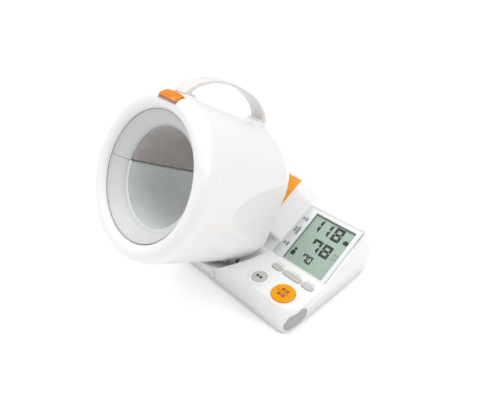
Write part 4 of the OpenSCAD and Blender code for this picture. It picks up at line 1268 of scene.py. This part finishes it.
    def slot_rings(self, centre: float, length: float, steps: Sequence[tuple[float, float]]) -> np.ndarray:
        """Slot outlines at a key's place: each step gives how far one stands out and its height over the face."""
        loops = [pill_loop(length, self.key_w, g) + np.array([centre, self.key_v]) for g, _ in steps]
        return self.buttons.out(stacked(loops, [h for _, h in steps]))

    def on_face(self, cx: float, cv: float) -> Pose:
        """The button face's frame, moved to a button's centre."""
        return replace(self.buttons, origin=tuple(self.buttons.out(np.array([cx, cv, 0.0]))))

    def panel_clear(self, x: np.ndarray, v: np.ndarray) -> np.ndarray:
        """Whether the orange panel is clear of the barrel's room through its depth, at points x, v of the display."""
        levels = (self.shoulder_n + 0.02, self.shoulder_n - 0.78)
        at = [self.case.back(self.display.out(np.stack([x, v, np.full(len(v), n)], -1))) for n in levels]
        return np.minimum(*(self.swept_room(p) for p in at)) > 0.3

    def shoulder_trim(self) -> None:
        """The orange panel on the shoulder: a slab whose left side follows the barrel's room."""
        side, end = self.shoulder_x - 0.6, self.trim_v - 0.5
        v = np.linspace(self.shoulder_v + 0.4, end, 400)
        v = np.linspace(v[self.panel_clear(np.full(400, side - 0.2), v)].min(), end, 70)
        left, right = np.full(len(v), self.seam_x), np.full(len(v), side)
        for _ in range(24):
            middle = (left + right) / 2
            free = self.panel_clear(middle, v)
            right = np.where(free, middle, right)
            left = np.where(free, left, middle)
        start = np.minimum(right, side - 0.2)
        u = np.linspace(0, 1, 30)
        level = self.shoulder_n + 0.02
        x = start[:, None] + (side - start[:, None]) * u
        rows = []
        for drop, inset in ((0.0, 0.35), (0.35, 0.0), (0.8, 0.0)):
            squeeze = np.clip(x, x[:, :1] + inset, x[:, -1:] - inset)
            rows.append(self.display.out(np.stack([squeeze, v[:, None] + 0 * x, np.full(x.shape, level - drop)], -1)))
        borders = [np.concatenate([r[0], r[1:, -1], r[-1, -2::-1], r[-2:0:-1, 0]]) for r in rows]
        skirt = surface(np.stack(borders), wrap_columns=True)
        piece("shoulder_panel", [surface(rows[0]), skirt, surface(rows[-1])], [ORANGE], "base",
              ["shoulder_trim"], crease=50)

    def display_unit(self) -> None:
        """The silver frame, the glass with its figures, and the clear window."""
        Display(self.display, self.frame_w, self.frame_l).build()

    def round_buttons(self) -> None:
        """The two round buttons: a domed cap with a rolled edge turned about its axis, and plain marks on top."""
        start_marks = [((0, 0), (15.0, 0.8))] + [((u, v), (4.0, 3.5)) for u in (-2.5, 2.5) for v in (-3.5, 3.5)]
        stop_marks = [((u, 0), (3.3, 3.4)) for u in (-2.1, 2.1)]
        for name, (cx, cv, r), rise, finish, slot, mark, spots in (
                ("start", self.start, 2.6, START_ORANGE, "orange", CAP_MARK, start_marks),
                ("stop", self.stop, 1.8, KEY_GREY, "grey_key", DARK_MARK, stop_marks)):
            pose = self.on_face(cx, cv)
            dome = np.linspace(1, 0.02, 12)
            top = np.stack([(r - 0.9) * dome, rise - 0.28 - 0.25 * dome ** 2 + 0.25], -1)
            edge = arc((r - 0.9, rise - 1.1), 0.9, 0.82, 0, 90, 7)
            profile = np.vstack([[[0.05, -3.9], [r - 0.3, -3.9], [r, -3.6]], edge, top[1:], [[0.05, rise - 0.03]]])
            body = revolved(profile, pose, 96)
            bars = [self.bar(pose, centre, size, rise) for centre, size in spots]
            button = name + "_button"
            piece(name + "_cap", [body] + bars, [finish, mark], button, [button])

    def bar(self, pose: Pose, centre: Sequence[float], size: Sequence[float], level: float) -> Patch:
        """A flat printed mark with round corners, laid on a cap.

        Args:
            pose: The cap's frame.
            centre: Centre of the mark.
            size: Its length and width.
            level: Its height over the face.

        Returns:
            The mark.
        """
        loop = rounded_loop(size[0] / 2, size[1] / 2, 4.0, 24) + np.asarray(centre)
        ring = np.column_stack([loop, np.full(len(loop), level)])
        return fan(pose.out(ring), 1)

    def flat_keys(self) -> None:
        """The three slot-shaped keys: slot outlines carried up to a softly rolled top."""
        for body, (centre, length) in zip(("key_left", "key_middle", "key_right"), self.keys):
            steps = ((-0.1, -3.9), (0.0, -3.7), (0.0, 0.75), (-0.12, 1.08), (-0.4, 1.3), (-0.9, 1.38))
            piece(body + "_cap", tube(self.slot_rings(centre, length, steps)), [KEY_GREY], body, [body])

    def speaker_oval(self) -> None:
        """The oval speaker cover: rings of an ellipse dropped onto the console's own corner."""
        pose = self.oval_pose
        share = np.concatenate([[1.0, 1.0], np.linspace(0.985, 0.02, 30)])
        t = full_turn(96)
        x = share[:, None] * (self.oval_a - 0.25) * np.cos(t)
        y = share[:, None] * (self.oval_b - 0.25) * np.sin(t)
        height = np.full(x.shape, 1.0)
        for _ in range(14):
            at = self.case.back(pose.out(np.stack([x, y, height], -1).reshape(-1, 3)))
            height = height - np.clip(self.console_field(at).reshape(x.shape), -1, 1) * 0.9
        height = height - 0.15
        height[0] -= 2.4
        height[1] -= 0.3
        rings = pose.out(np.stack([x, y, height], -1))
        piece("speaker_grille", tube(rings), [OVAL_GREY], "base", ["speaker_cover"])


# ---------------------------------------------------------------- display


class Segment(Enum):
    """The seven strokes of a figure, each from one corner to another on a grid of half heights."""

    TOP = ((0, 2), (1, 2))
    UPPER_LEFT = ((0, 1), (0, 2))
    UPPER_RIGHT = ((1, 1), (1, 2))
    MIDDLE = ((0, 1), (1, 1))
    LOWER_LEFT = ((0, 0), (0, 1))
    LOWER_RIGHT = ((1, 0), (1, 1))
    BOTTOM = ((0, 0), (1, 0))


LIT = {
    "0": (Segment.TOP, Segment.UPPER_LEFT, Segment.UPPER_RIGHT, Segment.LOWER_LEFT, Segment.LOWER_RIGHT,
          Segment.BOTTOM),
    "1": (Segment.UPPER_RIGHT, Segment.LOWER_RIGHT),
    "7": (Segment.TOP, Segment.UPPER_LEFT, Segment.UPPER_RIGHT, Segment.LOWER_RIGHT),
    "8": tuple(Segment),
}


@dataclass
class Display:
    """The display: silver frame, glass panel, plain figures of seven strokes and a clear window."""

    pose: Pose
    frame_w: float
    frame_l: float
    left: float = 13.2
    low: float = 2.2
    width: float = 51.8
    height: float = 62.2
    ink: float = -2.09

    def build(self) -> None:
        """Builds the frame, the panel and the window."""
        self.bezel()
        self.panel()
        self.window()

    def loop(self, grow: float, level: float, outer: bool) -> np.ndarray:
        """A rectangular outline with tight corners, as a ring of 4 by 12 points.

        Args:
            grow: How far it stands outside the frame or the glass opening.
            level: Height over the display face.
            outer: Whether it follows the frame or the opening.

        Returns:
            The ring in the part's frame.
        """
        if outer:
            cx, cv, hx, hv = -0.3 + self.frame_w / 2, self.frame_l / 2, self.frame_w / 2, self.frame_l / 2
        else:
            cx, cv, hx, hv = self.left + self.width / 2, self.low + self.height / 2, self.width / 2, self.height / 2
        r = 1.0 if outer else 0.6
        rings = [arc((cx + sx * (hx - r + grow), cv + sv * (hv - r + grow)), r, r, a, a + 90, 12)
                 for sx, sv, a in ((1, 1, 0), (-1, 1, 90), (-1, -1, 180), (1, -1, 270))]
        flat = np.vstack(rings)
        return self.pose.out(np.column_stack([flat, np.full(len(flat), level)]))

    def bezel(self) -> None:
        """The frame: its section carried round, from the groove outside to the sunk edge of the glass."""
        outside = [self.loop(g, n, True) for g, n in ((0.0, -1.8), (0.0, 0.05), (-0.35, 0.3))]
        inside = [self.loop(g, n, False) for g, n in ((0.7, 0.3), (0.15, 0.05), (0.0, -1.4), (0.0, -1.85))]
        skin = surface(np.stack(outside + inside), wrap_rows=True, wrap_columns=True)
        # The groove round the frame is coloured dark grey as painted shade in it.
        ditch = [self.loop(g, n, True) for g, n in ((0.35, -1.0), (0.35, 0.03), (-0.2, 0.03), (-0.2, -1.0))]
        groove = surface(np.stack(ditch), wrap_rows=True, wrap_columns=True, material=1)
        piece("display_bezel", [skin, groove] + self.edge_marks(), [SILVER, JOINT_AND_GAP_SHADE, MARK], "base",
              ["display_frame"], crease=60)

    def edge_marks(self) -> list[Patch]:
        """Plain printed dashes on the frame's left border, two short rows at each line of the glass."""
        marks = []
        for v, tall in ((52.0, 5.0), (36.0, 10.5), (17.0, 5.5)):
            for x, wide in ((4.4, 2.6), (8.3, 3.0)):
                loop = rounded_loop(wide / 2, tall / 2 if x > 5 else tall * 0.36, 5.0, 20) + np.array([x, v])
                marks.append(fan(self.pose.out(np.column_stack([loop, np.full(20, 0.33)])), 2))
        return marks

    def stroke(self, segment: Segment, size: np.ndarray, width: float) -> np.ndarray:
        """Outline of one stroke of a figure: mitred at the figure's corners and pointed at its waist.

        Args:
            segment: Which stroke.
            size: Width and height of the figure between the middles of its strokes.
            width: Width of a stroke.

        Returns:
            The outline, from the figure's lower left.
        """
        ends = np.array(segment.value) * size / (1, 2)
        along = (ends[1] - ends[0]) / np.linalg.norm(ends[1] - ends[0])
        side = np.array([-along[1], along[0]]) * width / 2
        off = (ends.mean(0) - size / 2) @ side
        outline = []
        for end, (_, row), way in zip(ends, segment.value, (-along, along)):
            tip, out = end - way * 0.06, side * (1 if off >= 0 else -1)
            step = way * width / 2
            if row == 1:
                points = [tip - step + out, tip, tip - step - out] if off == 0 else [tip + out, tip - step - out]
            else:
                points = [tip + step + out, tip - step - out]
            outline += points if way is not along else points[::-1]
        return np.array(outline)

    def figure(self, text: str, rights: Sequence[float], base: float, size: Sequence[float],
               width: float) -> list[Patch]:
        """A row of seven-stroke figures on the glass.

        Args:
            text: The digits.
            rights: Middle of each digit's right strokes, from the glass's left edge.
            base: Middle of the lowest strokes, from the glass's lower edge.
            size: Width and height of a figure between the middles of its strokes.
            width: Width of a stroke.

        Returns:
            One patch per lit stroke.
        """
        box = np.array(size)
        strokes = []
        for right, digit in zip(rights, text):
            corner = np.array([self.left + right - box[0], self.low + base])
            for segment in LIT[digit]:
                loop = corner + self.stroke(segment, box, width)
                strokes.append(fan(self.pose.out(np.column_stack([loop, np.full(len(loop), self.ink)])), 2))
        return strokes

    def panel(self) -> None:
        """The glass panel with its figures, a heart-beat dot, a tank mark and the faint block beside them."""
        x = self.left - 0.6 + (self.width + 1.2) * np.linspace(0, 1, 24)[:, None]
        v = self.low - 0.6 + (self.height + 1.2) * np.linspace(0, 1, 24)[None, :]
        level = self.ink - 0.06
        top = self.pose.out(np.stack([x + 0 * v, v + 0 * x, np.full((24, 24), level)], -1))
        under = self.pose.out(np.stack([x + 0 * v, v + 0 * x, np.full((24, 24), level - 5)], -1))
        marks = self.figure("118", (12.5, 24.6, 39.1), 44.9, (7.8, 13.7), 3.1)
        marks += self.figure("78", (26.6, 39.9), 23.2, (7.9, 12.4), 3.1)
        marks += self.figure("70", (22.8, 29.05), 8.1, (4.1, 7.6), 1.8)
        marks += [self.blot((48.0, 48.0), (3.2, 2.6), 2), self.blot((5.6, 10.6), (2.6, 3.0), 2),
                  self.blot((5.9, 15.6), (1.6, 1.7), 2)]
        marks += [self.blot((48.2 + dx, 28.7 + dv), (1.5, 1.7), 3) for dx in (-1.9, 1.9) for dv in (-2.4, 2.4)]
        marks += self.bezel_shadow(level + 0.03)
        piece("display_glass", [surface(top), surface(under)] + rims(top, under) + marks,
              [GLASS_GREEN, GLASS_SHADE, SEGMENT, FAINT], "base", ["lcd_module"], crease=30)

    def bezel_shadow(self, level: float) -> list[Patch]:
        """The bezel's painted shadow on the glass along its left and upper borders, as two narrow strips."""
        x0, x1 = self.left, self.left + self.width
        v0, v1 = self.low, self.low + self.height
        strips = ((x0, v0, x0 + 1.3, v1), (x0, v1 - 1.7, x1, v1))
        corners = [np.array([[a, b, level], [c, b, level], [c, d, level], [a, d, level]]) for a, b, c, d in strips]
        return [Patch(self.pose.out(four), np.array([[0, 1, 2, 3]]), 1) for four in corners]

    def blot(self, centre: Sequence[float], half: Sequence[float], material: int) -> Patch:
        """A rounded mark on the glass, given its centre from the glass's corner, half sizes and material number."""
        loop = rounded_loop(half[0], half[1], 2.8, 28) + (self.left + centre[0], self.low + centre[1])
        return fan(self.pose.out(np.column_stack([loop, np.full(len(loop), self.ink)])), material)

    def window(self) -> None:
        """The clear window in the frame's rebate: a thin slab with softened edges."""
        rings = np.stack([self.loop(0.6, n, False) for n in (-1.95, -1.9, -1.35, -1.3)])
        piece("display_cover", tube(rings), [WINDOW], "base", ["display_window"])


# ---------------------------------------------------------------- carried-over nodes and studio


DRESS: dict[str, Moulding] = {
    "inner_drum": FUNNEL, "cuff_core": FUNNEL, "hinge_bracket": GLOSS_WHITE, "air_bladder": BLACK_RUBBER,
    "bladder_nipple": BLACK_RUBBER, "air_hose": BLACK_RUBBER, "release_cable": BLACK_RUBBER, "lock_disc": DARK,
    "lock_shoe": DARK, "hinge_bushes": DARK, "exhaust_valve": DARK, "pressure_sensor": DARK, "speaker": DARK,
    "adapter_socket": DARK, "tact_switches": DARK, "rubber_feet": RUBBER, "key_board": BOARD, "main_board": BOARD,
    "handle_screws": STRAP, "release_spring": STEEL, "rear_ring_screws": STEEL, "hinge_pin": STEEL,
    "case_screws": STEEL, "air_pump": STEEL,
}


def dress_nodes() -> None:
    """Gives every node that stays in view its finish."""
    for name, finish in DRESS.items():
        mesh = frame["nodes"][name].data
        mesh.materials.clear()
        mesh.materials.append(WARDROBE.get(finish))
        LOG.info("%s dressed as %s", name, finish.name)


@dataclass
class Studio:
    """A white floor, a white sky with three soft lamps, and the camera at the photograph's place."""

    eye: tuple[float, float, float] = (293.75, -294.2, 359.8)
    azimuth: float = 45.98
    elevation: float = 34.02
    roll: float = 0.1
    lens: float = 31.98
    floor_half: float = 3.0
    floor_lift: float = 0.22
    far_lift: float = 0.7
    sky: float = 0.6

    def build(self) -> None:
        """Builds the floor, the lights and the camera."""
        self.floor()
        self.lights()
        self.camera()

    def floor(self) -> None:
        """A plain white sheet, lifted for the camera alone, more so farther out where the lamps fade."""
        h = self.floor_half
        mesh = bpy.data.meshes.new("floor")
        mesh.from_pydata([(-h, -h, 0), (h, -h, 0), (h, h, 0), (-h, h, 0)], [], [(0, 1, 2, 3)])
        mat = bpy.data.materials.new("white paper floor")
        mat.use_nodes = True
        tree = mat.node_tree
        tree.nodes.clear()
        body = node(tree, "ShaderNodeBsdfDiffuse", {"Color": linear("FFFFFF")})
        seen = node(tree, "ShaderNodeLightPath").outputs["Is Camera Ray"]
        spot = node(tree, "ShaderNodeTexCoord").outputs["Object"]
        away = node(tree, "ShaderNodeVectorMath", links={0: spot}, operation="LENGTH").outputs["Value"]
        grown = node(tree, "ShaderNodeMapRange",
                     {"From Min": 0.25, "From Max": 0.7, "To Min": self.floor_lift, "To Max": self.far_lift},
                     {"Value": away})
        lift = node(tree, "ShaderNodeMath", links={0: seen, 1: grown.outputs[0]}, operation="MULTIPLY")
        glow = node(tree, "ShaderNodeEmission", {"Color": (1, 1, 1, 1)}, {"Strength": lift.outputs[0]})
        both = node(tree, "ShaderNodeAddShader", links={0: body.outputs[0], 1: glow.outputs[0]})
        node(tree, "ShaderNodeOutputMaterial", links={"Surface": both.outputs[0]})
        mesh.materials.append(mat)
        made = bpy.data.objects.new("floor", mesh)
        bpy.context.scene.collection.objects.link(made)

    def lights(self) -> None:
        """An even white sky, and three soft lamps: at the front left, above and at the right."""
        world = bpy.data.worlds.new("studio")
        world.use_nodes = True
        tree = world.node_tree
        tree.nodes.clear()
        ray = node(tree, "ShaderNodeLightPath").outputs["Is Camera Ray"]
        strength = node(tree, "ShaderNodeMapRange", {"To Min": self.sky, "To Max": 1.0}, {"Value": ray})
        sky = node(tree, "ShaderNodeBackground", {"Color": (1, 1, 1, 1)}, {"Strength": strength.outputs[0]})
        node(tree, "ShaderNodeOutputWorld", links={"Surface": sky.outputs[0]})
        bpy.context.scene.world = world
        for name, spot, size, power in (("key", (-0.6, -0.5, 1.5), 1.0, 10.0), ("top", (0.1, 0.5, 1.7), 1.2, 7.6),
                                        ("side", (1.2, 0.1, 1.15), 0.9, 4.2)):
            lamp = bpy.data.lights.new(name, "AREA")
            lamp.shape = "SQUARE"
            lamp.size = size
            lamp.energy = power
            made = bpy.data.objects.new(name, lamp)
            back = np.array(spot) / np.linalg.norm(spot)
            side = np.cross((0, 0, 1), back)
            side = side / np.linalg.norm(side)
            place(made, side, np.cross(back, side), back, np.array(spot))
            bpy.context.scene.collection.objects.link(made)

    def camera(self) -> None:
        """The camera: it looks along the opposite of (sin a cos e, -cos a cos e, sin e)."""
        a, e, r = (math.radians(v) for v in (self.azimuth, self.elevation, self.roll))
        back = np.array([math.sin(a) * math.cos(e), -math.cos(a) * math.cos(e), math.sin(e)])
        side = np.array([math.cos(a), math.sin(a), 0.0])
        upward = np.cross(back, side)
        side, upward = side * math.cos(r) + upward * math.sin(r), upward * math.cos(r) - side * math.sin(r)
        data = bpy.data.cameras.new("camera")
        data.lens = self.lens
        data.sensor_width = 36.0
        data.sensor_fit = "HORIZONTAL"
        data.clip_start = 0.01
        made = bpy.data.objects.new("camera", data)
        place(made, side, upward, back, np.array(self.eye) * MM)
        bpy.context.scene.collection.objects.link(made)
        bpy.context.scene.camera = made


def place(thing: bpy.types.Object, x: np.ndarray, y: np.ndarray, z: np.ndarray, at: np.ndarray) -> None:
    """Sets a lamp's or camera's matrix from its three axes and its place in metres."""
    matrix = np.eye(4)
    matrix[:3, 0], matrix[:3, 1], matrix[:3, 2], matrix[:3, 3] = x, y, z, at
    thing.matrix_world = Matrix(matrix.tolist())


def main() -> None:
    """Builds the sub-assemblies in order, then the studio."""
    logging.basicConfig(level=logging.INFO, format="%(name)s: %(message)s")
    bpy.context.scene.view_settings.view_transform = "Standard"
    Studio().build()
    ArmBarrel().build()
    Housing().build()
    dress_nodes()
    bpy.context.view_layer.update()


if __name__ == "__main__":
    main()
